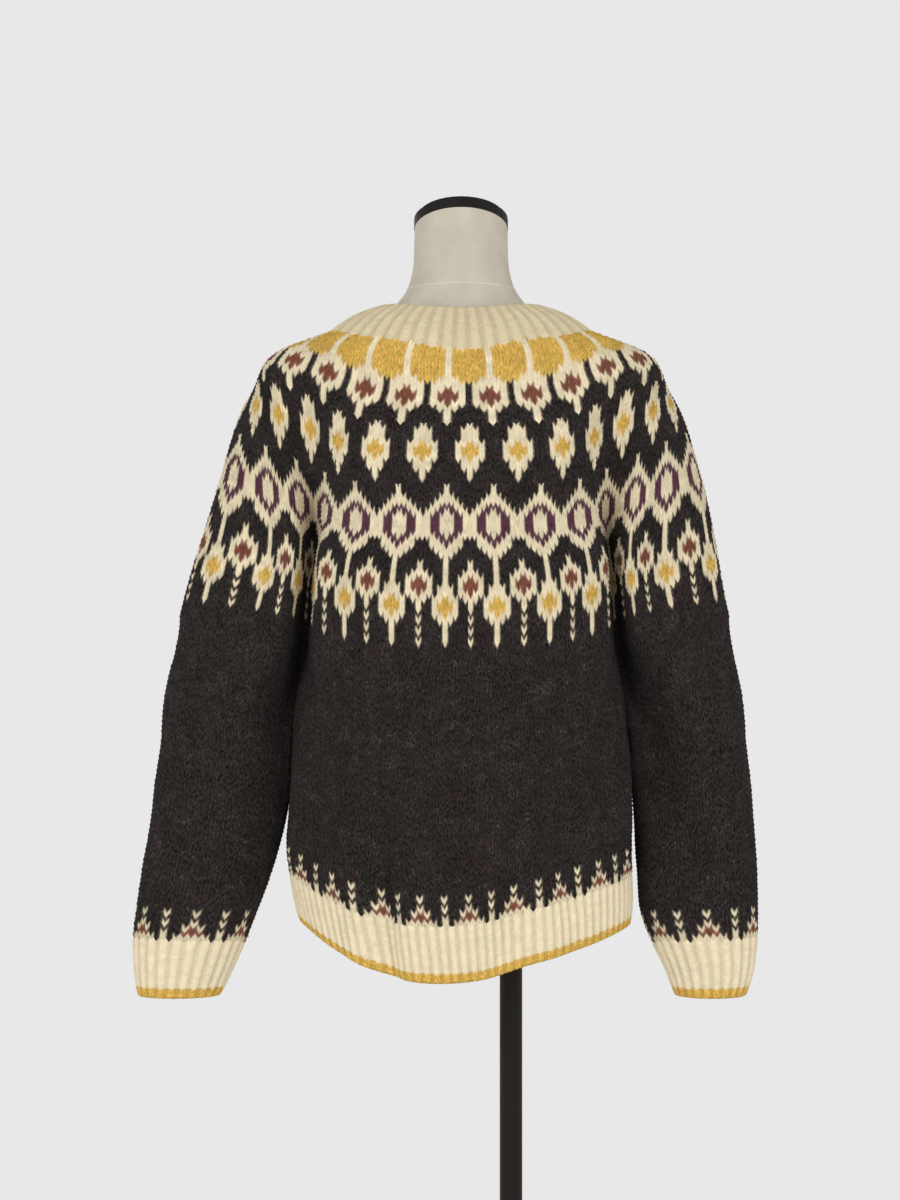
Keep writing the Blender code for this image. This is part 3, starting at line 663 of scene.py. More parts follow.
def wool_material(name):
    """Knitted wool: the stitch's own colour, heathered along the yarn, hairy and matte, with shade
    painted into the gaps.
    """
    graph = new_graph(name)
    place = object_place(graph)
    yarn = attribute(graph, "yarn")
    heather_and_gap_shade = yarn["Alpha"]
    stitch = graph.parts.new("ShaderNodeUVMap")
    stitch.uv_map = "stitches"
    stretch = {"Vector": stitch.outputs["UV"], "Scale": (2.8, 1.15, 1.0)}
    along_yarn = fed(graph, graph.parts.new("ShaderNodeMapping"), stretch).outputs["Vector"]
    streaks = noise(graph, along_yarn, 1.3, 4.0)
    grain = noise(graph, place, 1100.0, 2.0)
    light = remapped(graph, streaks, 0.33, 0.67, -0.90, 1.25)
    broad = remapped(graph, noise(graph, place, 38.0), 0.30, 0.70, -0.15, 0.15)
    fine = remapped(graph, grain, 0.30, 0.70, -0.35, 0.35)
    mixed = combined(graph, "ADD", combined(graph, "ADD", light, broad), fine)
    shade = combined(graph, "MULTIPLY_ADD", mixed, heather_and_gap_shade, 1.0)
    # Painted shade: the colour is darkened in the gaps between the stitch legs, where the mesh sinks,
    # more so in heathered yarns.
    gap_shade = remapped(graph, heather_and_gap_shade, 0.07, 1.0, 0.17, 0.42)
    painted_gap_depth = combined(graph, "SUBTRACT", attribute(graph, "painted_shade_height")["Fac"], 1.0)
    hollow = combined(graph, "MULTIPLY_ADD", painted_gap_depth, gap_shade, 1.04)
    felting = remapped(graph, grain, 0.35, 0.65, 0.25, 0.75)
    felted = blended(graph, felting, yarn["Color"], attribute(graph, "halo")["Color"])
    dyed = blended_tints(graph, felted, heather_and_gap_shade, place)
    lit = combined(graph, "MULTIPLY", shade, hollow)
    colour = combined_vectors(graph, "SCALE", {0: dyed, "Scale": lit})
    long_hairs = loose_fibres(graph, place, 170.0, 0.016)
    short_hairs = loose_fibres(graph, place, 260.0, 0.014)
    hairs = combined(graph, "ADD", long_hairs, short_hairs)
    tufts = remapped(graph, noise(graph, place, 75.0), 0.46, 0.66, 0.0, 0.075)
    hair_light = combined(graph, "MULTIPLY", hairs, tufts)
    hair = combined_vectors(graph, "SCALE", {0: HAIR_COLOUR, "Scale": hair_light})
    fed(graph, graph.shader, {
        "Base Color": combined_vectors(graph, "ADD", {0: colour, 1: hair}),
        "Normal": bumped(graph, combined(graph, "ADD", grain, streaks), 0.6, 0.0008),
        "Roughness": 0.92,
        "Sheen Weight": 0.02,
        "Sheen Roughness": 0.6,
        "Specular IOR Level": 0.08,
    })
    return graph.owner


wool = wool_material("wool_knit")

# %% [markdown]
# Stocking stitch is a field of small Vs: two legs that lean together, row over row. A
# grid with four columns and two rows for each stitch is enough. The columns slide down
# towards the middle of the stitch to make the V, the legs stand up and the gaps between
# them sink. A single coloured stitch then looks like a small heart, as real ones do.

# %% Knit a band of stitches
STEPS_ACROSS = 4
STEPS_DOWN = 2
RELIEF = 1.2
EDGE_REACH = 1.6
EDGE_CALM = 0.8
# A band's first line tucks under the row above; TUCK_SHADE sets how much painted shade it takes, only
# a little.
TUCK_ROWS = 1.0
TUCK_DEPTH = -0.8
TUCK_SHADE = 0.95
PURL_COLUMN = (0.0, -0.45, -0.6, -0.45)
Look = namedtuple("Look", "rise column waist wobble shade")
PLAIN_LOOK = Look(0.95, (0.0, 1.0, 0.15, 1.0), 0.42, 0.16, 0.07)
RIB_LOOK = Look(0.3, (0.0, 0.9, 1.0, 0.9), 0.92, 0.05, 0.03)
Band = namedtuple("Band", "first edges letters look edge_row", defaults=(PLAIN_LOOK, -100))
dice = np.random.default_rng(11)


def band_points(surface, band, relief, upright):
    """The points of one band of stitches, row by row, and how far each stands out, which keys painted
    shade.
    """
    look = band.look
    rows, stitches = band.letters.shape
    columns, lines = STEPS_ACROSS * stitches, STEPS_DOWN * rows
    across = np.interp(np.arange(columns + 1) / STEPS_ACROSS, np.arange(stitches + 1), band.edges)
    margin = STEPS_DOWN
    read = band.first + np.arange(-margin, lines + margin + 1) / STEPS_DOWN
    grid = surface(read, across)
    normal = outward(grid)
    phase = np.arange(columns + 1) % STEPS_ACROSS
    stitch = np.minimum(np.arange(columns + 1) // STEPS_ACROSS, stitches - 1)
    purl = (stitch % 2 == 1) & (look is RIB_LOOK)
    lean = look.rise * (1 if upright else -1)
    slide = lean * (0.5 - np.abs(2 * phase / STEPS_ACROSS - 1)) * ~purl
    line = np.arange(lines + 1)[:, None]
    at = line + margin + STEPS_DOWN * slide[None, :]
    at[0] -= STEPS_DOWN * TUCK_ROWS
    at = np.clip(at, 0, len(read) - 1.001)
    low = at.astype(int)
    part = (at - low)[..., None]
    column = np.arange(columns + 1)[None, :]
    point = grid[low, column] * (1 - part) + grid[low + 1, column] * part
    out = normal[low, column] * (1 - part) + normal[low + 1, column] * part
    leg = np.where(purl, np.array(PURL_COLUMN)[phase], np.array(look.column)[phase])
    height = leg[None, :] * np.where(line % STEPS_DOWN == 0, look.waist, 1.0)
    height[0] = TUCK_DEPTH
    row = np.minimum(line // STEPS_DOWN, rows - 1)
    plump = np.vectorize(PLUMP.get)(band.letters)[row, stitch[None, :]]
    uneven = 1 + look.wobble * dice.standard_normal((rows, stitches))[row, stitch[None, :]]
    near_edge = np.exp(-(((line / STEPS_DOWN - band.edge_row) / EDGE_REACH) ** 2))
    calm = 1 - EDGE_CALM * near_edge
    place = point + out * (height * plump * uneven * calm * relief)[..., None]
    # How far each point stands out, from 0 to 1, keys the shade that the wool material paints into
    # the gaps between the legs.
    painted_shade_grid = np.clip(height, 0, 1)
    painted_shade_grid[0] = TUCK_SHADE
    return place, painted_shade_grid


def corner_points(mesh):
    """The number of the point at each face corner."""
    owner = np.empty(len(mesh.loops), int)
    mesh.loops.foreach_get("vertex_index", owner)
    return owner


def dye(mesh, colour):
    """Keep each corner's yarn, and at each point the mean of the yarns that meet there."""
    owner = corner_points(mesh)
    halo = np.zeros((len(mesh.vertices), 4))
    np.add.at(halo, owner, colour)
    halo /= np.maximum(np.bincount(owner, minlength=len(halo)), 1)[:, None]
    for name, domain, values in (("yarn", "CORNER", colour), ("halo", "POINT", halo)):
        layer = mesh.color_attributes.new(name, "FLOAT_COLOR", domain)
        layer.data.foreach_set("color", values.ravel())


def finish_wool(mesh, painted_shade_height, colour):
    """Give a mesh its heights for painted shade and its yarns, and shade it as wool."""
    mesh.attributes.new("painted_shade_height", "FLOAT", "POINT").data.foreach_set("value", painted_shade_height)
    dye(mesh, colour)
    mesh.shade_smooth()
    mesh.materials.append(wool)


def knit(name, surface, bands, relief=RELIEF, upright=True):
    """One piece of knitting made of bands; each band has its own number of stitches."""
    bm = bmesh.new()
    sizes = []
    for band in bands:
        rows, stitches = band.letters.shape
        sizes.append((STEPS_ACROSS * stitches, STEPS_DOWN * rows))
        bmesh.ops.create_grid(bm, x_segments=sizes[-1][0], y_segments=sizes[-1][1], size=1.0)
    mesh = mesh_of(bm, name)
    flat = np.empty(len(mesh.vertices) * 3)
    mesh.vertices.foreach_get("co", flat)
    flat = flat.reshape(-1, 3)
    corners = corner_points(mesh).reshape(-1, 4)
    place = np.empty_like(flat)
    painted_shade_height = np.empty(len(flat))
    colour = np.ones((len(mesh.loops), 4))
    stitch_uv = np.empty((len(mesh.loops), 2))
    first_vert = 0
    first_face = 0
    for band, (columns, lines) in zip(bands, sizes):
        verts = slice(first_vert, first_vert + (columns + 1) * (lines + 1))
        faces = slice(first_face, first_face + columns * lines)
        column = np.rint((flat[verts, 0] + 1) / 2 * columns).astype(int)
        line = np.rint((1 - flat[verts, 1]) / 2 * lines).astype(int)
        points, band_painted_shade = band_points(surface, band, relief, upright)
        place[verts] = points[line, column]
        painted_shade_height[verts] = band_painted_shade[line, column]
        mine = corners[faces] - first_vert
        stitch = column[mine].min(axis=1) // STEPS_ACROSS
        row = line[mine].min(axis=1) // STEPS_DOWN
        shade = 1 + band.look.shade * dice.standard_normal(band.letters.shape)
        table = np.array([[YARNS[letter] for letter in letters] for letters in band.letters])
        table[..., :3] *= shade[..., None]
        loops = slice(faces.start * 4, faces.stop * 4)
        colour[loops] = np.repeat(table[row, stitch], 4, axis=0)
        stitch_uv[loops, 0] = column[mine].ravel() / STEPS_ACROSS
        stitch_uv[loops, 1] = -band.first - line[mine].ravel() / STEPS_DOWN
        first_vert = verts.stop
        first_face = faces.stop
    mesh.vertices.foreach_set("co", (place * MM).ravel())
    finish_wool(mesh, painted_shade_height, colour)
    mesh.uv_layers.new(name="stitches").data.foreach_set("uv", stitch_uv.ravel())
    mesh.update()
    return placed(name, mesh)


def lined_letters(chart, offsets):
    """Letters of a chart, read at each stitch's place in the repeat."""
    lines = np.array([list(line) for line in chart])
    return lines[:, offsets % lines.shape[1]]


def by_rows(surface, rows, start=0.0, stop=1.0):
    """A surface read by row number; its rows fill the shares from start to stop."""
    def read(numbers, across):
        return surface(start + np.asarray(numbers) / rows * (stop - start), across)

    return read


# %% [markdown]
# The yoke is knitted in two halves that meet beside the back centre, so that each mesh
# stays light. The left half takes the stitches up to its front edge, and the right half
# takes the centre stitch too. The cloth is turned a little on the form, so its pattern
# sits to the wearer's right, and the first rows spread out at the back of the neck.

# %% Knit the yoke
PATTERN_SLIP = 0.18
SLIP_END = 10
SLIP_FADE = 5
FAN = 0.8
FAN_ROWS = 10
FAN_REACH = 9.0


def slipped(edges):
    """Stitch edges moved to the wearer's right, less so towards the front."""
    return edges - PATTERN_SLIP * ease((SLIP_END - np.abs(edges)) / SLIP_FADE)


def fanned_yoke(rows, across):
    """The yoke as it is knitted, with its first rows spread out."""
    lines = []
    for row in rows:
        spread = FAN * (1 - ease(row / FAN_ROWS))
        inside = np.clip(across / FAN_REACH, -1, 1)
        lines.append(yoke_surface([row], across + spread * np.sin(pi * inside))[0])
    return np.array(lines)


def yoke_bands(side):
    """The yoke's three bands on one side of the back centre, left front edge first."""
    bands = []
    first = 0
    for chart, repeat, turn in ((CHART_6, 6, 0), (CHART_8, 8, 4), (CHART_10, 10, 0)):
        count = int(FRONT_EDGE * repeat)
        middle = 0.5 / repeat
        if side > 0:
            edges = np.linspace(FRONT_EDGE, middle, count + 1)
            numbers = np.arange(count, 0, -1)
        else:
            edges = np.linspace(middle, -FRONT_EDGE, count + 2)
            numbers = np.arange(0, -count - 1, -1)
        bands.append(Band(first, slipped(edges), lined_letters(chart, numbers + turn)))
        first += len(chart)
    return bands


yoke_left = knit("yoke_knit_left", fanned_yoke, yoke_bands(1))
yoke_right = knit("yoke_knit_right", fanned_yoke, yoke_bands(-1))

# %% [markdown]
# The body is 160 stitches of plain charcoal in one piece, with the small border above
# the hem. Its rows are counted so that a stitch stays a little wider than high.

# %% Knit the body
BODY_STITCHES = 160
BODY_PLAIN_ROWS = 48
BODY_ROWS = BODY_PLAIN_ROWS + len(BORDER)
BORDER_TURN = 5
HEM_START = 0.826


def bordered(plain_rows, offsets):
    """Plain charcoal rows with the border below them."""
    plain = np.full((plain_rows, len(offsets)), "D")
    return np.concatenate([plain, lined_letters(BORDER, offsets)])


body_rows = by_rows(body_surface, BODY_ROWS, 0.0, HEM_START)
body_edges = np.linspace(1, -1, BODY_STITCHES + 1)
body_offsets = BODY_STITCHES // 2 - np.arange(BODY_STITCHES) + BORDER_TURN
body_band = Band(0, body_edges, bordered(BODY_PLAIN_ROWS, body_offsets))
body_knit = knit("body_knit", body_rows, [body_band])

# %% [markdown]
# Sleeves are tubes that lose stitches on the way down, so each is knitted in bands: 64
# stitches at the top and 48 at the cuff, where the border repeats six times.

# %% Knit the sleeves
SLEEVE_COUNTS = (64, 60, 56, 52, 48)
SLEEVE_BAND_ROWS = (13, 13, 13, 13, 7)
SLEEVE_ROWS = sum(SLEEVE_BAND_ROWS) + len(BORDER)
CUFF_START = 0.845


def sleeve_rows(side, rows=SLEEVE_ROWS, start=0.0, stop=CUFF_START):
    """Part of one sleeve's surface, read by row number."""
    return by_rows(lambda shares, around: sleeve_surface(side, shares, around), rows, start, stop)


def sleeve_edges(side, count):
    """Stitch edges round a sleeve, so that the columns run to the right seen from outside."""
    return np.linspace(0, 1, count + 1)[::-side]


def knit_sleeve(side):
    bands = []
    first = 0
    for count, rows in zip(SLEEVE_COUNTS, SLEEVE_BAND_ROWS):
        if count == SLEEVE_COUNTS[-1]:
            letters = bordered(rows, np.arange(count))
        else:
            letters = np.full((rows, count), "D")
        bands.append(Band(first, sleeve_edges(side, count), letters))
        first += len(letters)
    return knit("sleeve_knit_" + SIDES[side], sleeve_rows(side), bands)


sleeve_knits = {side: knit_sleeve(side) for side in SIDES}

# %% [markdown]
# A one-by-one rib has knit columns that stand up and purl columns that hide between
# them. The rib turns round its edge and up the inside, so one strip of knitting makes
# the outer side, the rounded edge and the back of it.

# %% Knit the ribs
RIB_THICK = 3.2
RIB_RELIEF = 1.1
NECK_RELIEF = 0.7
RIB_INSIDE_ROWS = 8
KNIT_SHARE = 0.76
HEM_ROWS, HEM_PAIRS = 13, 96
CUFF_ROWS, CUFF_PAIRS = 13, 24
NECK_ROWS, NECK_PAIRS = 10, 54


def folded(surface, rows):
    """A surface that turns over its last row and runs back up inside."""
    def turned(read, across):
        read = np.asarray(read, float)
        over = np.clip(read - rows, 0.0, 1.0)
        base = np.where(read <= rows, read, np.where(read < rows + 1, rows, 2 * rows + 1 - read))
        above = 2
        fine = surface(np.arange(-above, rows + 1e-6, 0.5), across)
        steep = outward(fine)
        end = fine[-1] - fine[-2]
        end /= np.linalg.norm(end, axis=1)[:, None]
        at = np.clip((base + above) * 2, 0, len(fine) - 1.001)
        low = at.astype(int)
        part = (at - low)[:, None, None]
        point = fine[low] * (1 - part) + fine[low + 1] * part
        lean = steep[low] * (1 - part) + steep[low + 1] * part
        sink = RIB_THICK / 2 * (1 - np.cos(pi * over))
        reach = RIB_THICK / 2 * np.sin(pi * over)
        return point - lean * sink[:, None, None] + end[None] * reach[:, None, None]

    return turned


def rib_edges(start, stop, pairs, last_knit=True):
    """Edges of wide knit columns and narrow purl columns, one after the other."""
    count = 2 * pairs + (1 if last_knit else 0)
    widths = np.where(np.arange(count) % 2 == 0, KNIT_SHARE, 1 - KNIT_SHARE)
    run = np.concatenate([[0.0], np.cumsum(widths)])
    return start + (stop - start) * run / run[-1]


def knit_rib(name, surface, rows, edges, letter="C", mustard=2, relief=RIB_RELIEF, upright=True):
    """A folded rib, its last rows in mustard if there are any, and the same again inside."""
    letters = np.full((rows + 1 + RIB_INSIDE_ROWS, len(edges) - 1), letter)
    if mustard:
        letters[rows - mustard:rows + 1 + mustard] = "Y"
    band = Band(0, edges, letters, RIB_LOOK, rows + 0.5)
    return knit(name, folded(surface, rows), [band], relief, upright)


def knit_cuff(side):
    surface = sleeve_rows(side, CUFF_ROWS, CUFF_START, 1.0)
    start, stop = (1, 0) if side > 0 else (0, 1)
    edges = rib_edges(start, stop, CUFF_PAIRS, last_knit=False)
    return knit_rib("cuff_knit_" + SIDES[side], surface, CUFF_ROWS, edges)


hem_surface = by_rows(body_surface, HEM_ROWS, HEM_START, 1.0)
hem_knit = knit_rib("hem_rib_knit", hem_surface, HEM_ROWS, rib_edges(1, -1, HEM_PAIRS))
cuff_knits = {side: knit_cuff(side) for side in SIDES}
# The neckband is knitted in N, the cream darkened by painted shade.
neckband_knit = knit_rib(
    "neckband_knit", by_rows(neckband_surface, NECK_ROWS), NECK_ROWS,
    rib_edges(-FRONT_EDGE, FRONT_EDGE, NECK_PAIRS), "N", 0, NECK_RELIEF, upright=False,
)

# %% [markdown]
# Inside, the cloth shows its purl side. Nobody studies it, but it closes the view through
# the neck, the hem and the cuffs, so each big piece gets a plain inner side.

# %% Line the knitting with its purl side
KNIT_THICK = 3.0
# The purl side's whole sheet takes an even painted shade, as if from the gaps of its stitches.
PURL_PAINTED_SHADE_HEIGHT = 0.6


def purl_side(name, surface, rows, across):
    """The back of a knitted piece, a plain smooth sheet just inside it, evenly darkened by painted
    shade.
    """
    grid = surface(rows, across)
    inner = grid - outward(grid) * KNIT_THICK
    bm = shaped_grid(len(across) - 1, len(rows) - 1, lambda column, line: inner[line, column])
    mesh = mesh_of(bm, name)
    painted_shade_height = np.full(len(mesh.vertices), PURL_PAINTED_SHADE_HEIGHT)
    finish_wool(mesh, painted_shade_height, np.tile(YARNS["D"], (len(mesh.loops), 1)))
    return placed(name, mesh)


def sleeve_inside(side):
    rows = np.linspace(0, SLEEVE_ROWS, 30)
    return purl_side("sleeve_inside_" + SIDES[side], sleeve_rows(side), rows, sleeve_edges(side, 48))


yoke_inside = purl_side(
    "yoke_inside", yoke_surface, np.linspace(0, YOKE_ROWS, 33),
    np.linspace(FRONT_EDGE, -FRONT_EDGE, 161),
)
body_inside = purl_side(
    "body_inside", body_rows, np.linspace(0, BODY_ROWS, 28), np.linspace(1, -1, 121)
)
sleeve_insides = {side: sleeve_inside(side) for side in SIDES}

# %% [markdown]
# The two front bands run from the neckband to the hem. The right one lies over the left
# one and carries the buttons. They are knitted lengthways, as a narrow rib.

# %% Knit the front bands
BAND_PITCH = 4.7
BAND_PAIRS = 3
BAND_RELIEF = 1.5
UPPER_REACH = 0.6
UNDER_SINK = 3.5
UNDER_EDGES = (BAND_HALF + 3, -BAND_HALF + 2)
SPARE = 20.0


def front_profile():
    """The front edge's line from the neckband's top to the hem, as depth and height."""
    neck = neckband_surface(np.linspace(1, 0.05, 8), [FRONT_EDGE])[:, 0]
    yoke = yoke_surface(np.linspace(0, YOKE_ROWS, 33), [FRONT_EDGE])[:, 0]
    body = body_surface(np.linspace(0.03, 1, 24), [1.0])[:, 0]
    line = np.concatenate([neck, yoke, body])
    line[:, 0] = 0
    return line


profile = front_profile()
profile_length = length_of(profile)
BAND_ROWS = int(profile_length / BAND_PITCH)


def lengthened(line, spare):
    """A line with a straight bit added at both of its ends."""
    before = line[0] - line[1]
    after = line[-1] - line[-2]
    first = line[0] + before / np.linalg.norm(before) * spare
    last = line[-1] + after / np.linalg.norm(after) * spare
    return np.concatenate([[first], line, [last]])


def band_surface(sink):
    """The front bands' surface; across is millimetres to the left of the middle."""
    long_line = lengthened(profile, SPARE)
    read = np.linspace(0, profile_length + 2 * SPARE, 400)
    slope = np.gradient(along(long_line, read), axis=0)
    slope /= np.linalg.norm(slope, axis=1)[:, None]
    out = np.stack([0 * read, slope[:, 2], -slope[:, 1]], axis=1)

    def surface(rows, across):
        places = SPARE + np.asarray(rows, float) / BAND_ROWS * profile_length
        face = np.stack([np.interp(places, read, out[:, i]) for i in range(3)], axis=1)
        line = along(long_line, places) - face * sink
        grid = np.repeat(line[:, None, :], len(across), axis=1)
        grid[..., 0] = np.asarray(across)[None, :]
        return grid

    return surface


def knit_front_band(name, start, stop, sink):
    edges = rib_edges(start, stop, BAND_PAIRS)
    letters = np.full((BAND_ROWS, len(edges) - 1), "C")
    return knit(name, band_surface(sink), [Band(0, edges, letters, RIB_LOOK)], BAND_RELIEF)


upper_half = BAND_HALF + UPPER_REACH
band_right_knit = knit_front_band("band_right_knit", upper_half, -upper_half, 0.0)
band_left_knit = knit_front_band("band_left_knit", *UNDER_EDGES, UNDER_SINK)

# %% [markdown]
# Dress forms are covered in plain linen. The form here is one smooth lofted shape: rings
# for the neck, rings that follow the cloth over the shoulders, and rings for the hips.

# %% Model the covered form
NECK_TILT = 20
NECK_LEVELS = (
    (1446, 46.5, 46.5, 1.0), (1412, 47.5, 46.5, 0.6), (1394, 51.0, 47.0, 0.3),
    (1381, 57.0, 48.0, 0.1),
)
COLLAR_RINGS = ((1.0, 12.0), (0.6, 9.0), (0.2, 6.5), (0.0, 6.5))
FormRow = namedtuple("FormRow", "row depth bulge")
FORM_ROWS = [FormRow(*row) for row in (
    (0, 5.8, None), (5, 4.3, None), (10, 4.3, None), (16, 7, 46),
    (22, 9, 26), (37, 10, 22), (50, 12, 20), (64, 14, 18),
)]
FORM_LEVELS = (
    (1000, 132, 100, 104), (930, 128, 96, 97), (860, 138, 102, 98),
    (800, 146, 104, 97), (775, 146, 103, 95), (766, 138, 96, 88),
)
BULGE_LIFT = 12
BEHIND_BAND = 7.0
BEHIND_BAND_FROM = 10.6
BEHIND_BAND_FADE = 1.4
ARM_MARGIN = 3
FRONT_FROM = 7.0
FORM_POINTS = 45
LOFT_LINES = 85


def closed_ring(half):
    """A whole ring from its left half, back centre first."""
    front = half[-1] * np.array([0.0, 1.0, 1.0])
    right = half[1:][::-1] * np.array([-1.0, 1.0, 1.0])
    return np.concatenate([half, [front], right])


def form_rings():
    """The form's rings, from the neck down."""
    half = np.linspace(0, FRONT_EDGE, FORM_POINTS)
    turn = np.linspace(0, pi, len(half) + 1)[:-1]
    behind_band = BEHIND_BAND * ease((half - BEHIND_BAND_FROM) / BEHIND_BAND_FADE)[:, None]
    rings = []
    for z, half_width, half_depth, tilt in NECK_LEVELS:
        y = half_depth * np.cos(turn)
        lean = tan(radians(NECK_TILT)) * tilt
        rings.append(np.stack([half_width * np.sin(turn), y, z + lean * y], axis=1))
    shares = [share for share, _ in COLLAR_RINGS]
    band = neckband_surface(shares, half)
    away = outward(neckband_surface(shares, half[::-1]))[:, ::-1]
    for r, (_, depth) in enumerate(COLLAR_RINGS[:-1]):
        rings.append(band[r] - away[r] * (depth + behind_band))
    rows = np.array([form_row.row for form_row in FORM_ROWS], float)
    yoke = smooth_yoke(rows, half)
    push_y = crease_push(rows, half)[1]
    yoke[..., 1] += np.where(half < FRONT_FROM, np.minimum(push_y, 0), np.maximum(push_y, 0))
    yoke[..., 0] -= arm_swing(rows, half)
    away = outward(smooth_yoke(rows, half[::-1]))[:, ::-1]
    back = int(np.argmin(np.abs(half - BACK_CREASE))) - ARM_MARGIN
    front = int(np.argmin(np.abs(half - FRONT_CREASE))) + ARM_MARGIN
    share = np.linspace(0, 1, front - back + 1)[1:-1]
    for r, form_row in enumerate(FORM_ROWS):
        ring = yoke[r] - away[r] * (form_row.depth + behind_band)
        if form_row.bulge is not None:
            line = ring[back] + (ring[front] - ring[back]) * share[:, None]
            line[:, 0] += form_row.bulge * np.sin(pi * share)
            line[:, 2] += BULGE_LIFT * np.sin(pi * share)
            ring[back + 1:front] = line
        rings.append(ring)
    for z, half_width, depth_back, depth_front in FORM_LEVELS:
        depth = np.where(turn < pi / 2, depth_back, depth_front)
        x = half_width * np.sin(turn)
        rings.append(np.stack([x, depth * np.cos(turn), np.full(len(turn), z)], axis=1))
    return np.array([closed_ring(ring) for ring in rings])


def loft_form(rings):
    """The torso and its neck as one closed shape through the rings."""
    fine = hermite(np.arange(len(rings)), rings, np.linspace(0, len(rings) - 1, LOFT_LINES))
    lines, columns = len(fine) - 1, fine.shape[1]
    bm = shaped_grid(columns, lines, lambda column, line: fine[lines - line, column % columns])
    bmesh.ops.remove_doubles(bm, verts=bm.verts, dist=WELD)
    bmesh.ops.holes_fill(bm, edges=bm.edges, sides=0)
    bmesh.ops.recalc_face_normals(bm, faces=bm.faces)
    mesh = mesh_of(bm, "form_cover")
    mesh.shade_smooth()
    mesh.set_sharp_from_angle(angle=radians(60))
    return placed("form_cover", mesh)


rings_of_form = form_rings()
form_cover = loft_form(rings_of_form)

# %% [markdown]
# A narrow welt is sewn round the foot of the form's neck. It is one thin tube along the
# form's own surface there.

# %% Sew the neck welt
WELT_LEVEL = 2.7
WELT_RADIUS = 0.6
WELT_SIDES = 6


def sew_welt(rings):
    """A thin closed tube that follows the form between two of its rings."""
    ring = hermite(np.arange(len(rings)), rings, [WELT_LEVEL])[0]
    count = len(ring)
    out = (ring - ring.mean(axis=0)) * np.array([1.0, 1.0, 0.0])
    out /= np.linalg.norm(out, axis=1)[:, None]

    def place(column, line):
        turn = 2 * pi * line / WELT_SIDES
        side = out[column % count] * cos(turn) + np.array([0.0, 0.0, sin(turn)])
        return ring[column % count] + side * WELT_RADIUS

    bm = shaped_grid(count, WELT_SIDES, place)
    bmesh.ops.remove_doubles(bm, verts=bm.verts, dist=WELD)
    bmesh.ops.recalc_face_normals(bm, faces=bm.faces)
    mesh = mesh_of(bm, "form_welt")
    mesh.shade_smooth()
    return placed("form_welt", mesh)


form_welt = sew_welt(rings_of_form)

# %% [markdown]
# The cover is a close woven cloth: two fine crossed waves make the weave. The welt is a
# paler tape of the same kind. The cap, the pole and the base keep their frame shapes;
# painted metal and dull plastic need only a fine grain and a soft gloss.

# %% Cover the form and paint the stand
FINE_BUMP = 0.0003


def linen_material(name, dark, pale):
    graph = new_graph(name)
    place = object_place(graph)
    waves = []
    for direction in ("X", "Z"):
        wave = graph.parts.new("ShaderNodeTexWave")
        wave.bands_direction = direction
        inputs = {"Vector": place, "Scale": 420.0, "Distortion": 0.6}
        waves.append(fed(graph, wave, inputs).outputs["Fac"])
    weave = combined(graph, "MAXIMUM", *waves)
    fed(graph, graph.shader, {
        "Base Color": ramped(graph, noise(graph, place, 45.0), dark, pale, 0.35, 0.65),
        "Normal": bumped(graph, weave, 0.25, FINE_BUMP),
        "Roughness": 0.85,
    })
    return graph.owner


def dark_material(name, colour, roughness, scale):
    """A dark finish with a fine grain of this scale."""
    graph = new_graph(name)
    grain = noise(graph, object_place(graph), scale)
    dark, pale = ([c * factor for c in colour] for factor in (0.8, 1.25))
    fed(graph, graph.shader, {
        "Base Color": ramped(graph, grain, dark, pale),
        "Normal": bumped(graph, grain, 0.15, FINE_BUMP),
        "Roughness": roughness,
        "Specular IOR Level": 0.15,
    })
    return graph.owner


linen = linen_material("form_linen", (0.510, 0.465, 0.378), (0.575, 0.528, 0.432))
welt_tape = linen_material("welt_tape", (0.68, 0.64, 0.55), (0.76, 0.72, 0.63))
form_cover.data.materials.append(linen)
form_welt.data.materials.append(welt_tape)
stand_paint = dark_material("stand_paint", (0.0125, 0.0090, 0.0070), 0.5, 600.0)
cap_plastic = dark_material("cap_plastic", (0.0125, 0.0105, 0.0095), 0.6, 900.0)
STAND = (("form_cap", cap_plastic), ("form_pole", stand_paint), ("form_base", stand_paint))
for name, finish in STAND:
    node = nodes[name]
    if not node.material_slots:
        node.data.materials.append(finish)
    for material_slot in node.material_slots:
        material_slot.material = finish

# %% [markdown]
# The buttons are turned horn discs: a raised rim, a dished middle and four holes with a
# cross of cream wool through them. The holes are dark plugs, painted shade where a real
# hole is dark inside.

# %% Turn the buttons
BUTTON_COUNT = 7
BUTTON_OUTLINE = (
    (0.0, -2.0), (9.5, -2.0), (10.8, -1.0), (11.0, 0.4), (10.4, 1.6), (9.3, 2.0), (8.2, 1.5),
    (7.2, 0.7), (0.0, 0.5),
)
HOLE_OFFSET = 1.9
HOLE_RADIUS = 0.95
HOLE_LEVEL = 0.3
HOLE_DEPTH = 0.8
THREAD_RADIUS = 0.5
THREAD_LEVEL = 0.9


def horn_material():
    graph = new_graph("horn")
    mottle = noise(graph, object_place(graph), 160.0, 6.0)
    dark, pale = (0.030, 0.016, 0.009), (0.11, 0.060, 0.032)
    colour = ramped(graph, mottle, dark, pale, 0.35, 0.7)
    fed(graph, graph.shader, {"Base Color": colour, "Roughness": 0.3})
    return graph.owner


horn = horn_material()
# The dark finish of the hole plugs is painted shade.
hole_shade = dark_material("button_hole_painted_shade", (0.006, 0.004, 0.003), 0.8, 900.0)


def add_rod(bm, radius, length, sides, matrix):
    """A short round rod in millimetres, set in place by a matrix."""
    bmesh.ops.create_cone(
        bm, cap_ends=True, segments=sides, radius1=radius * MM, radius2=radius * MM,
        depth=length * MM, matrix=matrix,
    )


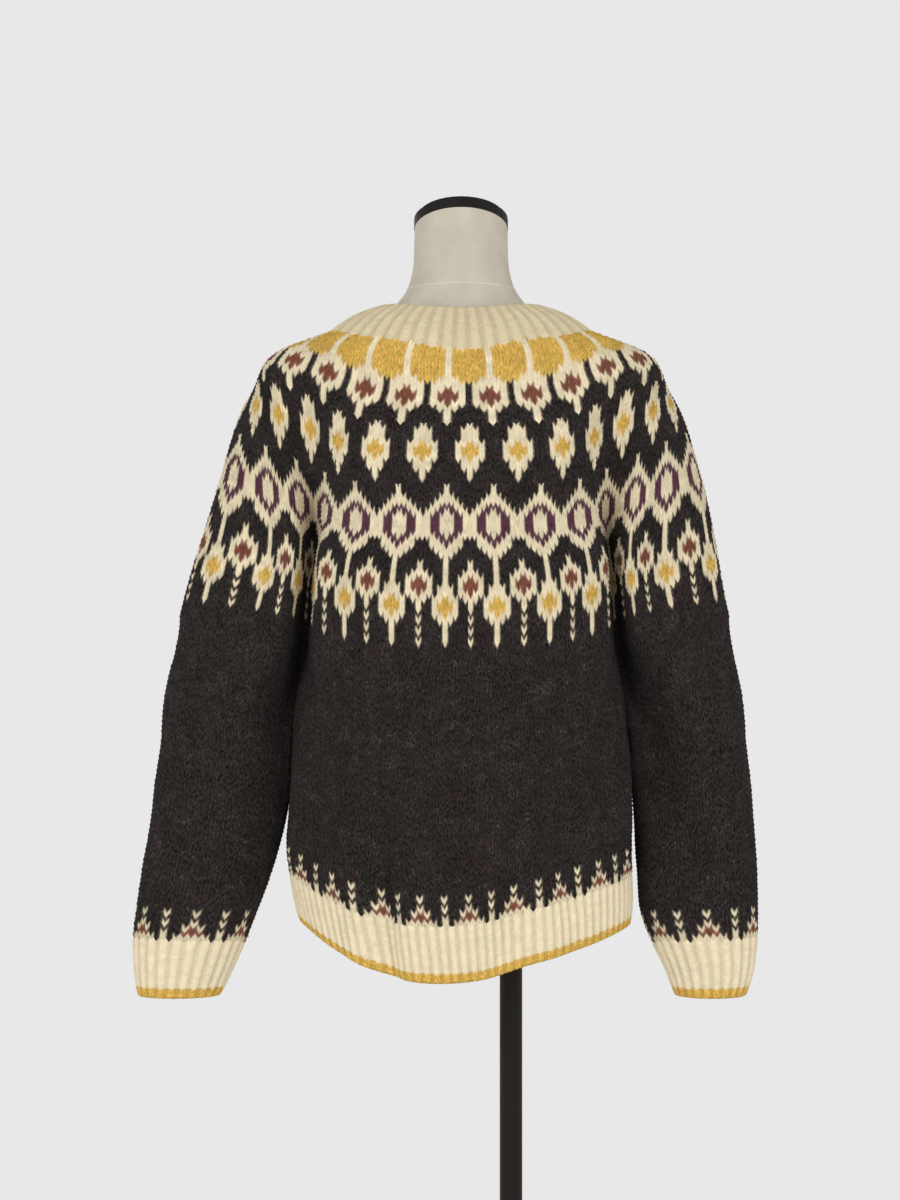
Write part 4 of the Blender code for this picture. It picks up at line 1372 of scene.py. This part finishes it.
def turn_button(name):
    """One button spun from its outline, with its thread, standing where its node is."""
    low, high = (Vector(corner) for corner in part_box(name))
    centre = (low + high) / 2
    row = int(np.argmin(np.abs(profile[:, 2] - centre.z / MM)))
    slope = profile[min(row + 1, len(profile) - 1)] - profile[max(row - 1, 0)]
    out = Vector((0, slope[2], -slope[1])).normalized()
    bm = bmesh.new()
    verts = [bm.verts.new((radius * MM, 0, z * MM)) for radius, z in BUTTON_OUTLINE]
    edges = [bm.edges.new(pair) for pair in zip(verts, verts[1:])]
    bmesh.ops.spin(
        bm, geom=verts + edges, cent=(0, 0, 0), axis=(0, 0, 1), angle=2 * pi, steps=40, use_merge=True
    )
    bmesh.ops.remove_doubles(bm, verts=bm.verts, dist=WELD)
    bmesh.ops.recalc_face_normals(bm, faces=bm.faces)
    turned = len(bm.faces)
    # Four solid dark plugs stand for the holes: painted shade, not openings.
    for turn in map(radians, (45, 135, 225, 315)):
        place = Vector((HOLE_OFFSET * cos(turn), HOLE_OFFSET * sin(turn), HOLE_LEVEL)) * MM
        add_rod(bm, HOLE_RADIUS, HOLE_DEPTH, 16, Matrix.Translation(place))
    holes = len(bm.faces)
    for turn in (45, -45):
        spin = Matrix.Rotation(radians(turn), 4, "Z") @ Matrix.Rotation(radians(90), 4, "X")
        lift = Matrix.Translation((0, 0, THREAD_LEVEL * MM))
        add_rod(bm, THREAD_RADIUS, 2 * HOLE_OFFSET, 10, lift @ spin)
    bm.faces.ensure_lookup_table()
    for index, face in enumerate(bm.faces):
        face.material_index = 0 if index < turned else (1 if index < holes else 2)
    turn = Vector((0, 0, 1)).rotation_difference(out).to_matrix().to_4x4()
    bm.transform(Matrix.Translation(centre) @ turn)
    mesh = mesh_of(bm, name + "_horn")
    dye(mesh, np.tile(YARNS["C"], (len(mesh.loops), 1)))
    for finish in (horn, hole_shade, wool):
        mesh.materials.append(finish)
    mesh.shade_smooth()
    mesh.set_sharp_from_angle(angle=radians(40))
    return placed(name + "_horn", mesh)


button_names = ["button_" + str(number) for number in range(1, BUTTON_COUNT + 1)]
buttons = {name: turn_button(name) for name in button_names}

# %% [markdown]
# Every piece now takes the place of its node and rides on the one body.

# %% Dress the frame
BODY_NODE = "root"
dressed = [
    ("yoke", "charcoal_wool", (yoke_left, yoke_right, yoke_inside)),
    ("body", "charcoal_wool", (body_knit, body_inside)),
    ("hem_rib", "cream_wool", (hem_knit,)),
    ("neckband", "cream_wool", (neckband_knit,)),
    ("band_right", "cream_wool", (band_right_knit,)),
    ("band_left", "cream_wool", (band_left_knit,)),
    ("form_torso", "form_cover", (form_cover, form_welt)),
]
for side, label in SIDES.items():
    sleeve = (sleeve_knits[side], sleeve_insides[side])
    dressed.append(("sleeve_" + label, "charcoal_wool", sleeve))
    dressed.append(("cuff_" + label, "cream_wool", (cuff_knits[side],)))
dressed += [(label, "button_horn", (piece,)) for label, piece in buttons.items()]
for node_name, slot, pieces in dressed:
    for piece in pieces:
        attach(piece, BODY_NODE)
        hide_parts(node_name)

# %% [markdown]
# The picture has an even pale backdrop and soft light from all round, a little stronger
# from above. Large soft lamps keep the shadows gentle, so the stitches show by their
# relief and by the shade painted into their gaps.

# %% Light the studio
BACKDROP_SHADE = 0.807
FLOOR_SIZE = 30.0
FLOOR_DROP = 0.0005
LIT_FLOOR = 1.5
OVERHEAD_SHADE = 0.36


def lay_floor():
    """A pale floor that is lit round the stand and has the backdrop's own shade further out."""
    bm = bmesh.new()
    bmesh.ops.create_grid(bm, x_segments=1, y_segments=1, size=FLOOR_SIZE)
    bmesh.ops.translate(bm, vec=(0, 0, -FLOOR_DROP), verts=bm.verts)
    mesh = mesh_of(bm, "studio_floor")
    graph = new_graph("studio_floor")
    fed(graph, graph.shader, {
        "Base Color": (0.80, 0.80, 0.80, 1), "Roughness": 1.0, "Specular IOR Level": 0.0,
    })
    even = graph.parts.new("ShaderNodeEmission")
    fed(graph, even, {"Color": (BACKDROP_SHADE, BACKDROP_SHADE, BACKDROP_SHADE, 1)})
    away = combined_vectors(graph, "LENGTH", {0: object_place(graph)}, "Value")
    far = remapped(graph, away, LIT_FLOOR * 0.5, LIT_FLOOR, 0.0, 1.0)
    lit, plain = graph.shader.outputs["BSDF"], even.outputs["Emission"]
    blend = fed(graph, graph.parts.new("ShaderNodeMixShader"), {0: far})
    graph.links.new(lit, blend.inputs[1])
    graph.links.new(plain, blend.inputs[2])
    fed(graph, graph.parts["Material Output"], {"Surface": blend.outputs["Shader"]})
    mesh.materials.append(graph.owner)
    placed("studio_floor", mesh)


def light_room():
    """An even backdrop at eye level, with less light from overhead."""
    world = bpy.data.worlds.new("studio")
    bpy.context.scene.world = world
    world.use_nodes = True
    tree = world.node_tree
    graph = Graph(world, tree.nodes, tree.links, tree.nodes["Background"])
    sky = graph.parts.new("ShaderNodeTexCoord").outputs["Generated"]
    split = fed(graph, graph.parts.new("ShaderNodeSeparateXYZ"), {"Vector": sky})
    shade = remapped(graph, split.outputs["Z"], 0.42, 0.75, BACKDROP_SHADE, OVERHEAD_SHADE)
    fed(graph, graph.shader, {"Color": shade})


def soft_lamp(name, place, target, size, power):
    data = bpy.data.lights.new(name, "AREA")
    data.shape = "RECTANGLE"
    data.size = size[0]
    data.size_y = size[1]
    data.energy = power
    lamp = bpy.data.objects.new(name, data)
    lamp.location = place
    aim = Vector(target) - Vector(place)
    lamp.rotation_euler = aim.to_track_quat("-Z", "Y").to_euler()
    bpy.context.scene.collection.objects.link(lamp)


lay_floor()
light_room()
soft_lamp("key_lamp", (1.5, 3.0, 2.7), (0, 0, 1.0), (1.2, 1.2), 34)
soft_lamp("fill_lamp", (-1.7, 2.9, 2.2), (0, 0, 1.0), (1.2, 1.2), 22)
soft_lamp("far_lamp", (0.8, -3.2, 2.6), (0, 0, 1.0), (1.6, 1.6), 30)
bpy.context.scene.view_settings.view_transform = "Standard"
